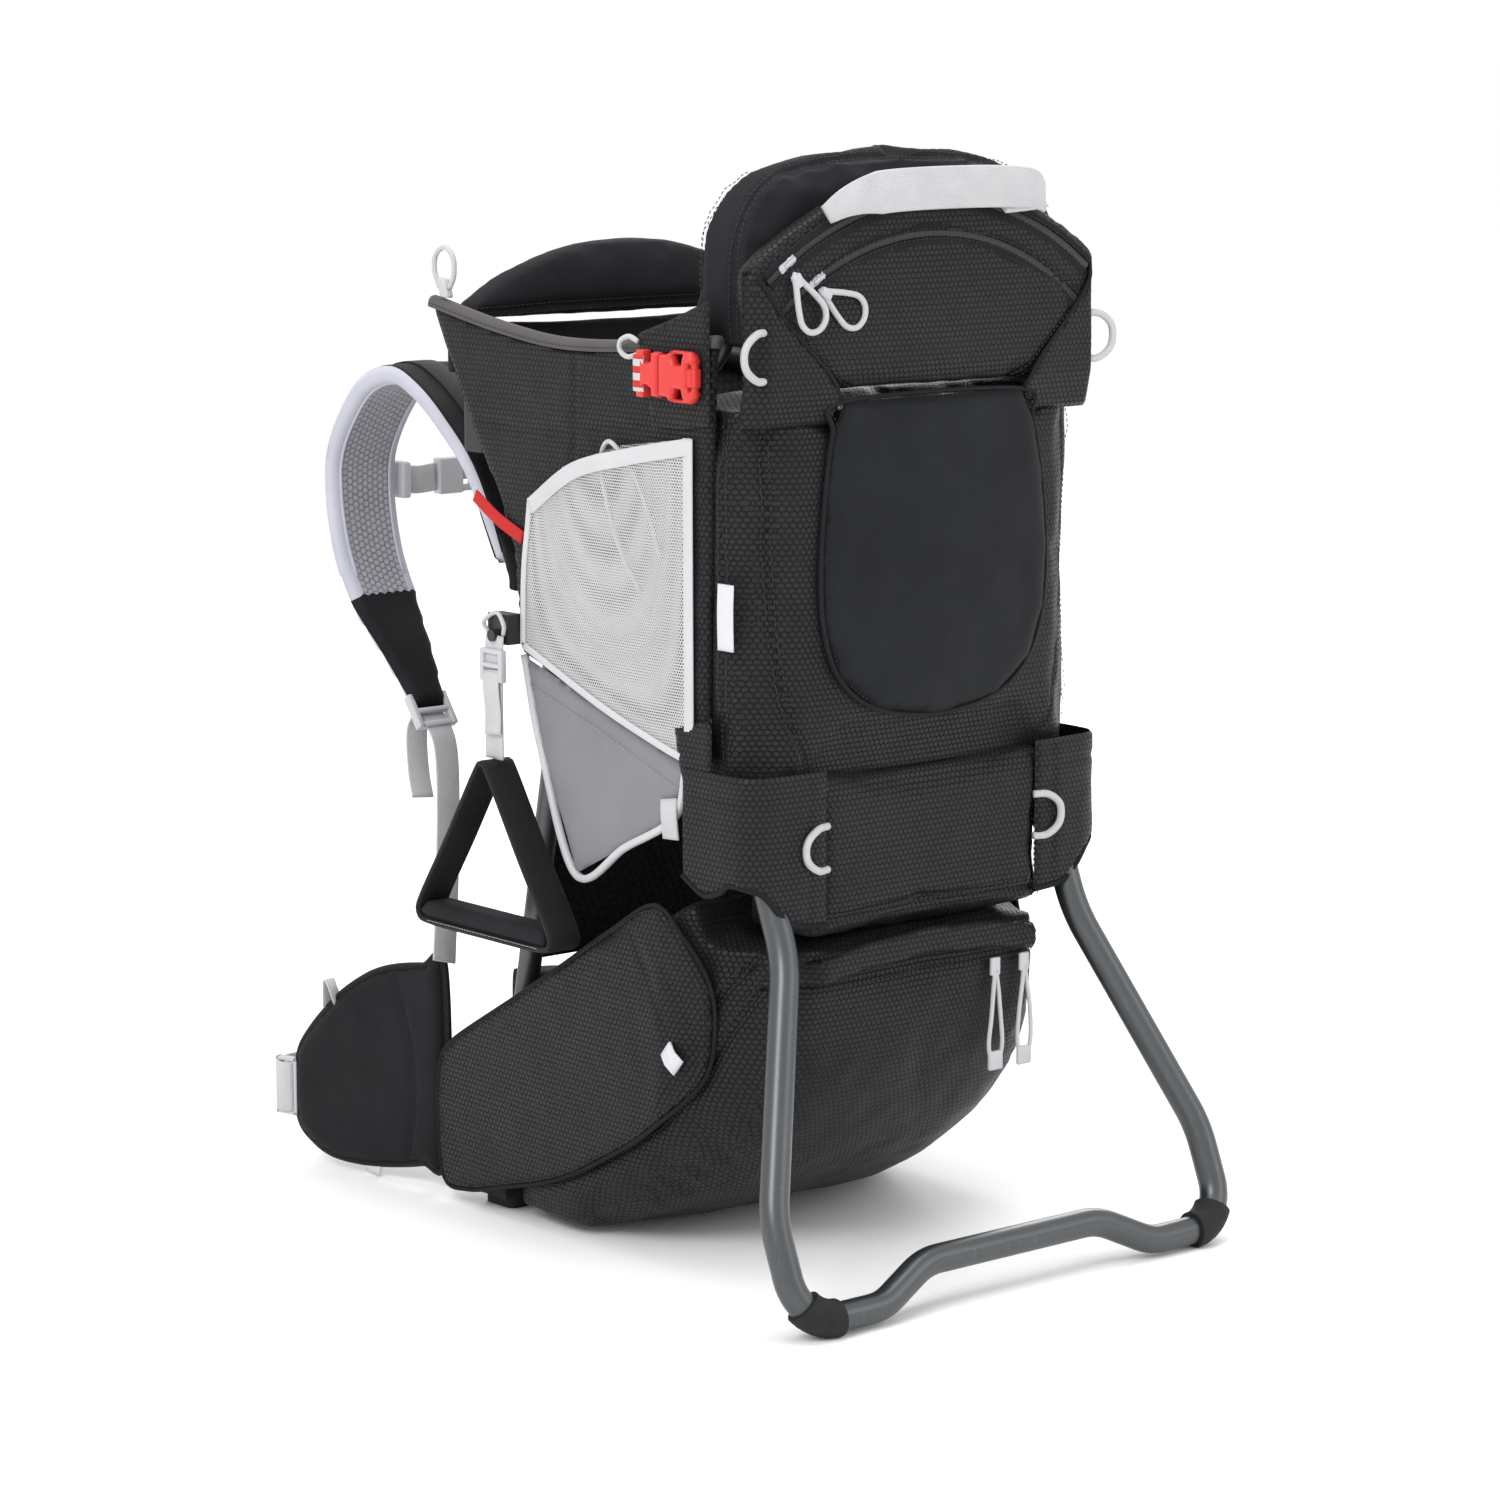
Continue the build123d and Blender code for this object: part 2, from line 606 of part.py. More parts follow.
# ---------------------------------------------------------------- hinge band and its wings
BAND_HALF = 104.0
BAND_FRONT = -138.0
BAND_REAR = BODY_REAR - 8
with BuildPart() as hinge_band:
    add(block((-BAND_HALF, BAND_REAR, BAND_BOTTOM), (BAND_HALF, BAND_FRONT, BAND_TOP)))
    fillet(hinge_band.edges().filter_by(Axis.X).group_by(Axis.Y)[0], 6)
save(hinge_band.part, "hinge_band")

# Each wing is a cover over one hinge, open below and in front so that the leg can swing.
WING_WALL = 4.0
WING_IN = BAND_HALF + GAP
WING_OUT = BODY_HALF + 3
WING_REAR = HINGE_Y - KICK_R - 23.5
band_wings = []
for side, name in SIDES:
    cover = ((BAND_FRONT, BAND_TOP), (WING_REAR, BAND_TOP), (WING_REAR, 266), (BAND_FRONT, 240))
    hollow = (
        (BAND_FRONT + 1, BAND_TOP - WING_WALL),
        (WING_REAR + WING_WALL, BAND_TOP - WING_WALL),
        (WING_REAR + WING_WALL, 200),
        (BAND_FRONT + 1, 200),
    )
    with BuildPart() as band_wing:
        add(side_slab(side, WING_IN, WING_OUT, cover))
        add(side_slab(side, WING_IN - 1, WING_OUT - WING_WALL, hollow), mode=Mode.SUBTRACT)
    band_wings.append(band_wing.part)
save_group(band_wings, "band_wings")

# ---------------------------------------------------------------- lower bag
BAG_HALF = BODY_HALF - 2
BAG_FRONT = 28.0
BAG_TOP = BAND_BOTTOM - 2
with BuildPart() as lower_bag:
    with BuildSketch(Plane.YZ.offset(-BAG_HALF)):
        with BuildLine():
            belly = ThreePointArc((BAG_FRONT + 30, 5), (-40, 9), (-118, 44))
            heel = ThreePointArc(belly @ 1, (-176, 100), (-203, 190))
            rear = Line(heel @ 1, (-203, BAG_TOP))
            shelf = Polyline(rear @ 1, (BAND_FRONT + 2, BAG_TOP), (BAND_FRONT + 8, 252), (-101, 236))
            back = ThreePointArc(shelf @ 1, (-20, 192), (BAG_FRONT, 160))
            Polyline(back @ 1, (BAG_FRONT, 130), (BAG_FRONT + 30, 100), belly @ 0)
        make_face()
    extrude(amount=2 * BAG_HALF)
    # Seen from above the rear corners are rounded, which leaves room for the folded legs.
    with BuildSketch(Plane.XY):
        with BuildLine():
            front = Line((BAG_HALF, BAG_FRONT + 40), (-BAG_HALF, BAG_FRONT + 40))
            left = Line(front @ 1, (-BAG_HALF, -112))
            round_left = ThreePointArc(left @ 1, (-128, -158), (-96, -208))
            rear = Line(round_left @ 1, (96, -208))
            round_right = ThreePointArc(rear @ 1, (128, -158), (BAG_HALF, -112))
            Line(round_right @ 1, front @ 0)
        make_face()
    extrude(amount=BAND_TOP, mode=Mode.INTERSECT)
save(lower_bag.part, "lower_bag")

# Rain flap over the lower zip.
FLAP_Z = 214.0
with BuildPart() as zip_flap:
    with BuildSketch(Plane.XZ.offset(203 + GAP)):
        with BuildLine():
            upper = ThreePointArc((-110, FLAP_Z), (0, FLAP_Z + 9), (110, FLAP_Z))
            tip = Line(upper @ 1, (110, FLAP_Z - 14))
            lower = ThreePointArc(tip @ 1, (0, FLAP_Z - 7), (-110, FLAP_Z - 14))
            Line(lower @ 1, upper @ 0)
        make_face()
    extrude(amount=5)
save(zip_flap.part, "zip_flap")

# ---------------------------------------------------------------- hip fins and lumbar pad
FIN_IN = FRAME_HALF + FOOT_HALF + 1
FIN_REAR = BAG_FRONT + 30 + GAP
hip_fins = []
for side, name in SIDES:
    fin = ((FIN_REAR, 6), (CHEST_Y - 6, 8), (CHEST_Y, 30), (CHEST_Y, 96), (107, 122), (FIN_REAR, 146))
    hip_fins.append(side_slab(side, FIN_IN, BODY_HALF - 1, fin))
save_group(hip_fins, "hip_fins")

LUMBAR_HALF = BAR_HALF - 1
with BuildPart() as lumbar_pad:
    add(block((-LUMBAR_HALF, HOOP_SIDE[0][0] + 8, 32), (LUMBAR_HALF, CHEST_Y - 3, 160)))
    fillet(lumbar_pad.faces().sort_by(Axis.Y)[-1].edges(), 10)
save(lumbar_pad.part, "lumbar_pad")

# Stretched mesh back panel just in front of the hoop, between the moulded frame joints.
PANEL_HALF = FRAME_HALF - 13
PANEL_NEAR = FRAME_R + 1.5
PANEL_FAR = PANEL_NEAR + 5
panel_levels = (170, 330, 420, 566)
panel_rear = [(hoop_y(z) + PANEL_NEAR, z) for z in panel_levels]
panel_front = [(hoop_y(z) + PANEL_FAR, z) for z in reversed(panel_levels)]
back_panel = side_slab(1, -PANEL_HALF, PANEL_HALF, panel_rear + panel_front)
save(back_panel, "back_panel")

# ---------------------------------------------------------------- cockpit front and collar
FRONT_LOW = 570.0
with BuildPart() as cockpit_front:
    add(block((-WALL_IN + GAP, CHEST_Y - 10, FRONT_LOW), (WALL_IN - GAP, CHEST_Y, RIM_TOP + 6)))
save(cockpit_front.part, "cockpit_front")

COLLAR_HALF = WALL_IN - 4
COLLAR_Z = RIM_TOP + 6 + GAP
COLLAR_RISE = 54.0
with BuildPart() as front_collar:
    with BuildSketch(Plane.XZ.offset(-CHEST_Y)):
        with BuildLine():
            base = Line((-COLLAR_HALF, COLLAR_Z), (COLLAR_HALF, COLLAR_Z))
            end = Line(base @ 1, (COLLAR_HALF, COLLAR_Z + 12))
            crown = ThreePointArc(end @ 1, (0, COLLAR_Z + COLLAR_RISE), (-COLLAR_HALF, COLLAR_Z + 12))
            Line(crown @ 1, base @ 0)
        make_face()
    extrude(amount=30)
    fillet(front_collar.edges().group_by(Axis.Z)[-1], 8)
save(front_collar.part, "front_collar")

# ---------------------------------------------------------------- child's seat, on its height strap
SEAT_HALF = 96.0
SEAT_Z = 322.0
SEAT_THICK = 22.0
SEAT_REAR = BODY_FRONT + 3
seat_pad = block((-SEAT_HALF, SEAT_REAR, SEAT_Z - SEAT_THICK), (SEAT_HALF, 18, SEAT_Z))
with BuildPart() as seat_cushion:
    add(seat_pad)
    fillet(seat_cushion.edges().filter_by(Axis.Z), 18)
save(seat_cushion.part, "seat_cushion")
BACK_THICK = 14.0
with BuildPart() as seat_back:
    add(block((-SEAT_HALF, SEAT_REAR, SEAT_Z + GAP), (SEAT_HALF, SEAT_REAR + BACK_THICK, 552)))
    fillet(seat_back.edges().filter_by(Axis.Y).group_by(Axis.Z)[-1], 30)
save(seat_back.part, "seat_back")
STRAP_FACE = SEAT_REAR + BACK_THICK + GAP
child_straps = []
for side, name in SIDES:
    low_x, high_x = across(side, 22, 54)
    child_straps.append(block((low_x, STRAP_FACE, 400), (high_x, STRAP_FACE + 8, 545)))
save_group(child_straps, "child_straps")

with BuildPart() as child_buckle:
    add(block((-21, STRAP_FACE, 404), (21, STRAP_FACE + 12, 440)))
    fillet(child_buckle.edges().filter_by(Axis.Y), 5)
save(child_buckle.part, "child_buckle")

# ---------------------------------------------------------------- shoulder harness
HARNESS_LEAN = atan2(HOOP_SIDE[4][0] - HOOP_SIDE[3][0], HOOP_SIDE[4][1] - HOOP_SIDE[3][1])
YOKE_LOW = 424.0
YOKE_HIGH = 468.0
YOKE_THICK = 12.0
STRAP_HALF = STRAP_THICK / 2
yoke_near = PANEL_FAR + 1.2
yoke_outline = (
    (hoop_y(YOKE_LOW) + yoke_near, YOKE_LOW),
    (hoop_y(YOKE_LOW) + yoke_near + YOKE_THICK, YOKE_LOW),
    (hoop_y(YOKE_HIGH) + yoke_near + YOKE_THICK, YOKE_HIGH),
    (hoop_y(YOKE_HIGH) + yoke_near, YOKE_HIGH),
)
STRAP_OUT = STRAP_IN + STRAP_WIDTH
harness_yoke = side_slab(1, -STRAP_OUT, STRAP_OUT, yoke_outline)
save(harness_yoke, "harness_yoke")

strap_route = ((80, 444), (148, 536), (206, 566), (264, 530), (281, 476), (268, 424), (226, 366), (200, 330))
strap_bends = (60, 50, 50, 60, 60, 90)
shoulder_straps = []
strap_locks = []
for side, name in SIDES:
    with BuildPart() as shoulder_strap:
        add(side_band(side, STRAP_IN, STRAP_OUT, strap_route, strap_bends, STRAP_THICK))
        add(harness_yoke, mode=Mode.SUBTRACT)
    shoulder_straps.append(shoulder_strap.part.solids().sort_by(SortBy.VOLUME)[-1])

    middle = side * (STRAP_IN + STRAP_WIDTH / 2)
    lock_plane = Plane(origin=(middle, 199, 328.6), x_dir=(1, 0, 0), z_dir=(0, -26, -36))
    with BuildPart() as strap_lock:
        with BuildSketch(lock_plane):
            Rectangle(34, 9)
        extrude(amount=26)
        with BuildSketch(lock_plane):
            Rectangle(WEB_WIDTH + 4, WEB_THICK + 2)
        extrude(amount=26, mode=Mode.SUBTRACT)
    strap_locks.append(strap_lock.part)
save_group(strap_locks, "strap_locks")

save_group(shoulder_straps, "shoulder_straps")

# Adjusting webbing from the foot of the pack up to each ladder lock.
WEB_TOP = Vector(STRAP_IN + STRAP_WIDTH / 2, 182, 303)
WEB_FOOT = Vector(BODY_HALF - 8, CHEST_Y + 5, 164)
strap_webbings = []
for side, name in SIDES:
    top = Vector(side * WEB_TOP.X, WEB_TOP.Y, WEB_TOP.Z)
    foot = Vector(side * WEB_FOOT.X, WEB_FOOT.Y, WEB_FOOT.Z)
    with BuildPart() as strap_webbing:
        with BuildSketch(Plane(origin=foot, x_dir=(1, 0, 0), z_dir=top - foot)):
            Rectangle(WEB_WIDTH, WEB_THICK)
        extrude(amount=(top - foot).length)
    strap_webbings.append(strap_webbing.part)
save_group(strap_webbings, "strap_webbings")

# ---------------------------------------------------------------- sternum strap
STERNUM_Y = 280.0
STERNUM_Z = 482.0
CLIP = 7.0
BUCKLE_X = -22.0
clip_in = STRAP_IN - GAP - CLIP
sternum_straps = []
for side, name in SIDES:
    low_x, high_x = across(side, clip_in, STRAP_IN - GAP)
    clip = block((low_x, STERNUM_Y - 9, STERNUM_Z - 13), (high_x, STERNUM_Y + 9, STERNUM_Z + 13))
    sternum_straps.append(clip)
    edge = BUCKLE_X + side * 17
    low_x, high_x = sorted((edge, side * clip_in))
    band = block(
        (low_x, STERNUM_Y - 1, STERNUM_Z - WEB_WIDTH / 2), (high_x, STERNUM_Y + 1, STERNUM_Z + WEB_WIDTH / 2)
    )
    sternum_straps.append(band)
save_group(sternum_straps, "sternum_straps")
with BuildPart() as sternum_buckle:
    add(block((BUCKLE_X - 17, STERNUM_Y - 5, STERNUM_Z - 13), (BUCKLE_X + 17, STERNUM_Y + 5, STERNUM_Z + 13)))
    fillet(sternum_buckle.edges().filter_by(Axis.Y), 4)
save(sternum_buckle.part, "sternum_buckle")

# ---------------------------------------------------------------- hip wings, belt and its buckle
PIVOT_Y = CHEST_Y + WING_THICK / 2 + 1
PIVOT_HALF = BODY_HALF - 12
wing_outline = [(0, 22), (0, 160), (66, 146), (104, 120), (WING_LENGTH, 80), (WING_LENGTH, 30), (104, 9), (48, 11)]
flare_sin = sin(radians(BELT_FLARE))
flare_cos = cos(radians(BELT_FLARE))
LOCK_LENGTH = 20.0
BELT_WIDTH = 34.0
BELT_Z = 54.0
BELT_THICK = 2.5
BUCKLE_DEPTH = 12.0
BUCKLE_NEAR = 30.0
BUCKLE_FAR = 76.0
BELT_Y = HALF_DEPTH - BUCKLE_DEPTH / 2
for side, name in SIDES:
    wing_plane = Plane(
        origin=(side * PIVOT_HALF, PIVOT_Y, 0),
        x_dir=(side * flare_sin, flare_cos, 0),
        z_dir=(flare_cos, -side * flare_sin, 0),
    )
    with BuildPart() as hip_wing:
        with BuildSketch(wing_plane):
            with BuildLine():
                Polyline(*wing_outline, close=True)
            make_face()
        extrude(amount=WING_THICK / 2, both=True)
        with BuildSketch(Plane.XY.offset(22)):
            with Locations((side * PIVOT_HALF, PIVOT_Y)):
                Circle(WING_THICK / 2)
        extrude(amount=138)
    save(hip_wing.part, f"hip_wing_{name}")

    lock_start = WING_LENGTH + GAP
    with BuildPart() as belt_lock:
        with BuildSketch(wing_plane.offset(-3)):
            with Locations((lock_start + LOCK_LENGTH / 2, BELT_Z)):
                RectangleRounded(LOCK_LENGTH, BELT_WIDTH + 8, 3)
                Rectangle(5, BELT_WIDTH, mode=Mode.SUBTRACT)
        extrude(amount=6)

    lock_end = lock_start + LOCK_LENGTH + 2 * GAP
    corner_x = side * (PIVOT_HALF + lock_end * flare_sin)
    corner_y = PIVOT_Y + lock_end * flare_cos
    with BuildPart() as belt_webbing:
        with BuildSketch(Plane.XY.offset(BELT_Z - BELT_WIDTH / 2)):
            with BuildLine():
                Polyline(
                    (corner_x, corner_y),
                    (corner_x, BELT_Y + BELT_THICK / 2),
                    (side * BUCKLE_FAR, BELT_Y + BELT_THICK / 2),
                    (side * BUCKLE_FAR, BELT_Y - BELT_THICK / 2),
                    (corner_x - side * BELT_THICK, BELT_Y - BELT_THICK / 2),
                    (corner_x - side * BELT_THICK, corner_y),
                    close=True,
                )
            make_face()
        extrude(amount=BELT_WIDTH)
    save_group([belt_lock.part, belt_webbing.part], f"belt_strap_{name}")

    low_x, high_x = across(side, BUCKLE_NEAR, BUCKLE_FAR)
    with BuildPart() as belt_buckle:
        add(
            block(
                (low_x, HALF_DEPTH - BUCKLE_DEPTH, BELT_Z - BELT_WIDTH / 2 - 4),
                (high_x, HALF_DEPTH, BELT_Z + BELT_WIDTH / 2 + 4),
            )
        )
        fillet(belt_buckle.edges().filter_by(Axis.Y), 6)
        if side < 0:
            mouth = block(
                (-BUCKLE_NEAR - 24, BELT_Y - 3, BELT_Z - 15), (-BUCKLE_NEAR + 1, BELT_Y + 3, BELT_Z + 15)
            )
            add(mouth, mode=Mode.SUBTRACT)
        else:
            for prong in (-10, 0, 10):
                tongue = block(
                    (BUCKLE_NEAR - 20, BELT_Y - 2.5, BELT_Z + prong - 3),
                    (BUCKLE_NEAR + 1, BELT_Y + 2.5, BELT_Z + prong + 3),
                )
                add(tongue)
    save(belt_buckle.part, f"belt_buckle_{name}")

# ---------------------------------------------------------------- stirrups
STIRRUP_X = BODY_HALF + 12
STIRRUP_HALF = 10.0
STIRRUP_Y = 44.0
STIRRUP_Z = 404.0
TREAD_Z = 206.0
stirrup_tabs = []
for side, name in SIDES:
    low_x, high_x = across(side, BODY_HALF + GAP, STIRRUP_X)
    with BuildPart() as stirrup_tab:
        add(block((low_x, STIRRUP_Y - 11, STIRRUP_Z - 6), (high_x, STIRRUP_Y + 11, STIRRUP_Z + 14)))
        with BuildSketch(Plane.YZ.offset(side * (STIRRUP_X - 1))):
            with Locations((STIRRUP_Y, STIRRUP_Z)):
                Circle(PIN_R)
        extrude(amount=side * 7)
    stirrup_tabs.append(stirrup_tab.part)
    with BuildPart() as stirrup_strap:
        with BuildSketch(Plane.YZ.offset(side * (STIRRUP_X + GAP))):
            with Locations((STIRRUP_Y, STIRRUP_Z - 36)):
                Rectangle(22, 76)
            with Locations((STIRRUP_Y, STIRRUP_Z)):
                Circle(11)
                Circle(PIN_R + PIN_FIT, mode=Mode.SUBTRACT)
        extrude(amount=side * 4)
    apex = STIRRUP_Z - 74 - 7
    with BuildPart() as stirrup_loop:
        with BuildSketch(Plane.YZ.offset(side * (STIRRUP_X + GAP - 8))):
            with BuildLine():
                FilletPolyline(
                    (STIRRUP_Y, apex - 8),
                    (STIRRUP_Y + 76, TREAD_Z + 2),
                    (STIRRUP_Y - 76, TREAD_Z + 2),
                    radius=12,
                    close=True,
                )
            make_face()
            offset(amount=8, kind=Kind.ARC)
            with BuildLine():
                FilletPolyline(
                    (STIRRUP_Y, apex - 24),
                    (STIRRUP_Y + 60, TREAD_Z + 9),
                    (STIRRUP_Y - 60, TREAD_Z + 9),
                    radius=8,
                    close=True,
                )
            make_face(mode=Mode.SUBTRACT)
        extrude(amount=side * 22)
    save_group([stirrup_strap.part, stirrup_loop.part], f"stirrup_{name}")
save_group(stirrup_tabs, "stirrup_tabs")

# ---------------------------------------------------------------- sewn loops, handle and trim
CORD = 4.0
LOOP_HIGH = 12.0
LOOP_BOW = 9.0
loop_places = ((BODY_HALF - 4, ZIP_FACE, RIM_TOP + 2), (BAND_HALF - 4, BAND_REAR, 288.0))
TOGGLE_Y = CHEST_Y - 8
TOGGLE_Z = RIM_FRONT + RIM_THICK + CORD / 2 + GAP
with BuildPart() as cord_loops:
    for side, name in SIDES:
        for half, face, z in loop_places:
            x = side * half
            y = face - CORD / 2 - GAP
            add(wire_loop((x, y, z + LOOP_HIGH), (x - side * LOOP_BOW, y, z), (x, y, z - LOOP_HIGH), CORD))
        x = side * (BODY_HALF - 5)
        toggle_ends = (TOGGLE_Y - LOOP_BOW, TOGGLE_Y + LOOP_BOW)
        toggle_top = (x, TOGGLE_Y, TOGGLE_Z + 2 * LOOP_HIGH)
        add(wire_loop((x, toggle_ends[0], TOGGLE_Z), toggle_top, (x, toggle_ends[1], TOGGLE_Z), CORD))
save(cord_loops.part, "cord_loops")

# Bright strip sewn along each side wall, and a plain sewn tab on the left.
TRIM_THICK = 1.6
trims = []
for side, name in SIDES:
    strip = ((80, 497), (76, 487), (34, 464), (31, 474))
    trims.append(side_slab(side, BODY_HALF + GAP, BODY_HALF + GAP + TRIM_THICK, strip))
save_group(trims, "trim_strips")
TAB_Y = -178.0
tab = ((TAB_Y - 8, 460), (TAB_Y + 8, 460), (TAB_Y + 8, 416), (TAB_Y - 8, 416))
save(side_slab(-1, BODY_HALF + GAP, BODY_HALF + GAP + TRIM_THICK, tab), "side_tab")

# ---------------------------------------------------------------- lower zip
LOWER_ZIP_Z = 184.0
LOWER_ZIP_X = 84.0
lower_face = -204.0 - GAP
low_slider = []
for x in (LOWER_ZIP_X, LOWER_ZIP_X - 26):
    with BuildPart() as lower_slider:
        with BuildSketch(Plane.XZ.offset(-lower_face)):
            with Locations((x, LOWER_ZIP_Z)):
                RectangleRounded(14, 9, 3)
            with Locations((x, LOWER_ZIP_Z - 8)):
                Rectangle(5, 12)
        extrude(amount=SLIDER_THICK)
        with BuildSketch(Plane.XZ.offset(-lower_face)):
            with Locations((x, LOWER_ZIP_Z - 38)):
                SlotOverall(54, 13, rotation=90)
                SlotOverall(45, 6, rotation=90, mode=Mode.SUBTRACT)
        extrude(amount=SLIDER_THICK)
    low_slider.append(lower_slider.part)
save_group(low_slider, "lower_zip_pulls")

# ---------------------------------------------------------------- grab handle
HANDLE_HALF = 92.0
HANDLE_LOW = ARC_Z + OUTER_ARC - 7.7
HANDLE_RISE = 28.0
HANDLE_FACE = ZIP_FACE - 14
with BuildPart() as grab_handle:
    with BuildSketch(Plane.XY.offset(HANDLE_LOW)):
        with BuildLine():
            Polyline(
                (-HANDLE_HALF, ZIP_FACE - 2),
                (-HANDLE_HALF + 14, HANDLE_FACE),
                (HANDLE_HALF - 14, HANDLE_FACE),
                (HANDLE_HALF, ZIP_FACE - 2),
            )
        trace(line_width=3)
    extrude(amount=HANDLE_RISE)
    gap_under = block(
        (-HANDLE_HALF + 34, HANDLE_FACE - 10, HANDLE_LOW - 1), (HANDLE_HALF - 34, HANDLE_FACE + 10, HANDLE_LOW + 8)
    )
    add(gap_under, mode=Mode.SUBTRACT)
save(grab_handle.part, "grab_handle")
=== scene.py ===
import json
import math

import bmesh
import bpy
import numpy as np
from mathutils import Matrix, Vector, noise
from mathutils.bvhtree import BVHTree
from mathutils.geometry import delaunay_2d_cdt
from mathutils.kdtree import KDTree

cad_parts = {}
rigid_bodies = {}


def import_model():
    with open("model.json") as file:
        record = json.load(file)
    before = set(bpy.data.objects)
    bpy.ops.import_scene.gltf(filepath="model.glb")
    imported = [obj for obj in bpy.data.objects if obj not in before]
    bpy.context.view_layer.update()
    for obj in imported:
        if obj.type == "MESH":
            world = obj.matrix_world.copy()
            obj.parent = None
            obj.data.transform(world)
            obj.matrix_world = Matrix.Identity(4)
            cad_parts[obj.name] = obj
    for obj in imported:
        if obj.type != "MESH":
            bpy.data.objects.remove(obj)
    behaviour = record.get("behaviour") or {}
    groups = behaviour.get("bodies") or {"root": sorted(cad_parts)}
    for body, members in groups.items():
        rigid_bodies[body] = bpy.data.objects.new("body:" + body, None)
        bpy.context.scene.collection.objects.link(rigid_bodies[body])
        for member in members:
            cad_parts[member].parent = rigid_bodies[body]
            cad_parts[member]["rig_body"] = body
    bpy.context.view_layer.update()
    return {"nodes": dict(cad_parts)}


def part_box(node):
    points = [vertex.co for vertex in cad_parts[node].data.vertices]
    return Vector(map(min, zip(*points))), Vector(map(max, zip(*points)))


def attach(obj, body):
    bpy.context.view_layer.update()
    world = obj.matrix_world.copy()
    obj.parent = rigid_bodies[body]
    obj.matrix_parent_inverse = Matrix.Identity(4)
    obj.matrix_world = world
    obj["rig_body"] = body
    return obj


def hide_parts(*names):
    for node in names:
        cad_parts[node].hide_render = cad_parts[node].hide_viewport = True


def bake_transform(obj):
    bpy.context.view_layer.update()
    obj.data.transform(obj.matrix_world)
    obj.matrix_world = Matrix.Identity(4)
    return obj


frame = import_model()
NODES = frame["nodes"]
SIDES = ((-1, "left"), (1, "right"))
MM = 0.001
SCENE = bpy.context.scene
FLOOR_REACH = 40.0   # metres from the origin to the edge of the floor sheet
FLOOR_DROP = 0.0004  # metres the floor sheet lies below the feet
WORLD_STRENGTH = 1.05


# ---------------------------------------------------------------- materials
def hexagon_group():
    """Distance to the edge of a honeycomb of unit cells: 0 at a cell's middle, 0.5 on its edge."""
    group = bpy.data.node_groups.new("honeycomb", "ShaderNodeTree")
    group.interface.new_socket("Place", in_out="INPUT", socket_type="NodeSocketVector")
    group.interface.new_socket("Edge", in_out="OUTPUT", socket_type="NodeSocketFloat")
    start = group.nodes.new("NodeGroupInput")
    end = group.nodes.new("NodeGroupOutput")

    def vector(operation, *values):
        node = group.nodes.new("ShaderNodeVectorMath")
        node.operation = operation
        for socket, value in zip(node.inputs, values):
            if isinstance(value, bpy.types.NodeSocket):
                group.links.new(value, socket)
            else:
                socket.default_value = value
        return node

    half = (0.5, math.sqrt(3) / 2, 0.5)
    minus = tuple(-h for h in half)
    distances = []
    for offset in ((0, 0, 0), half):
        moved = vector("SUBTRACT", start.outputs[0], offset)
        wrapped = vector("WRAP", moved.outputs[0], half, minus)
        size = vector("ABSOLUTE", wrapped.outputs[0])
        slope = vector("DOT_PRODUCT", size.outputs[0], (0.5, math.sqrt(3) / 2, 0))
        flat = vector("DOT_PRODUCT", size.outputs[0], (1, 0, 0))
        top = group.nodes.new("ShaderNodeMath")
        top.operation = "MAXIMUM"
        group.links.new(slope.outputs["Value"], top.inputs[0])
        group.links.new(flat.outputs["Value"], top.inputs[1])
        distances.append(top.outputs[0])
    nearest = group.nodes.new("ShaderNodeMath")
    nearest.operation = "MINIMUM"
    group.links.new(distances[0], nearest.inputs[0])
    group.links.new(distances[1], nearest.inputs[1])
    group.links.new(nearest.outputs[0], end.inputs[0])
    return group


HONEYCOMB = hexagon_group()


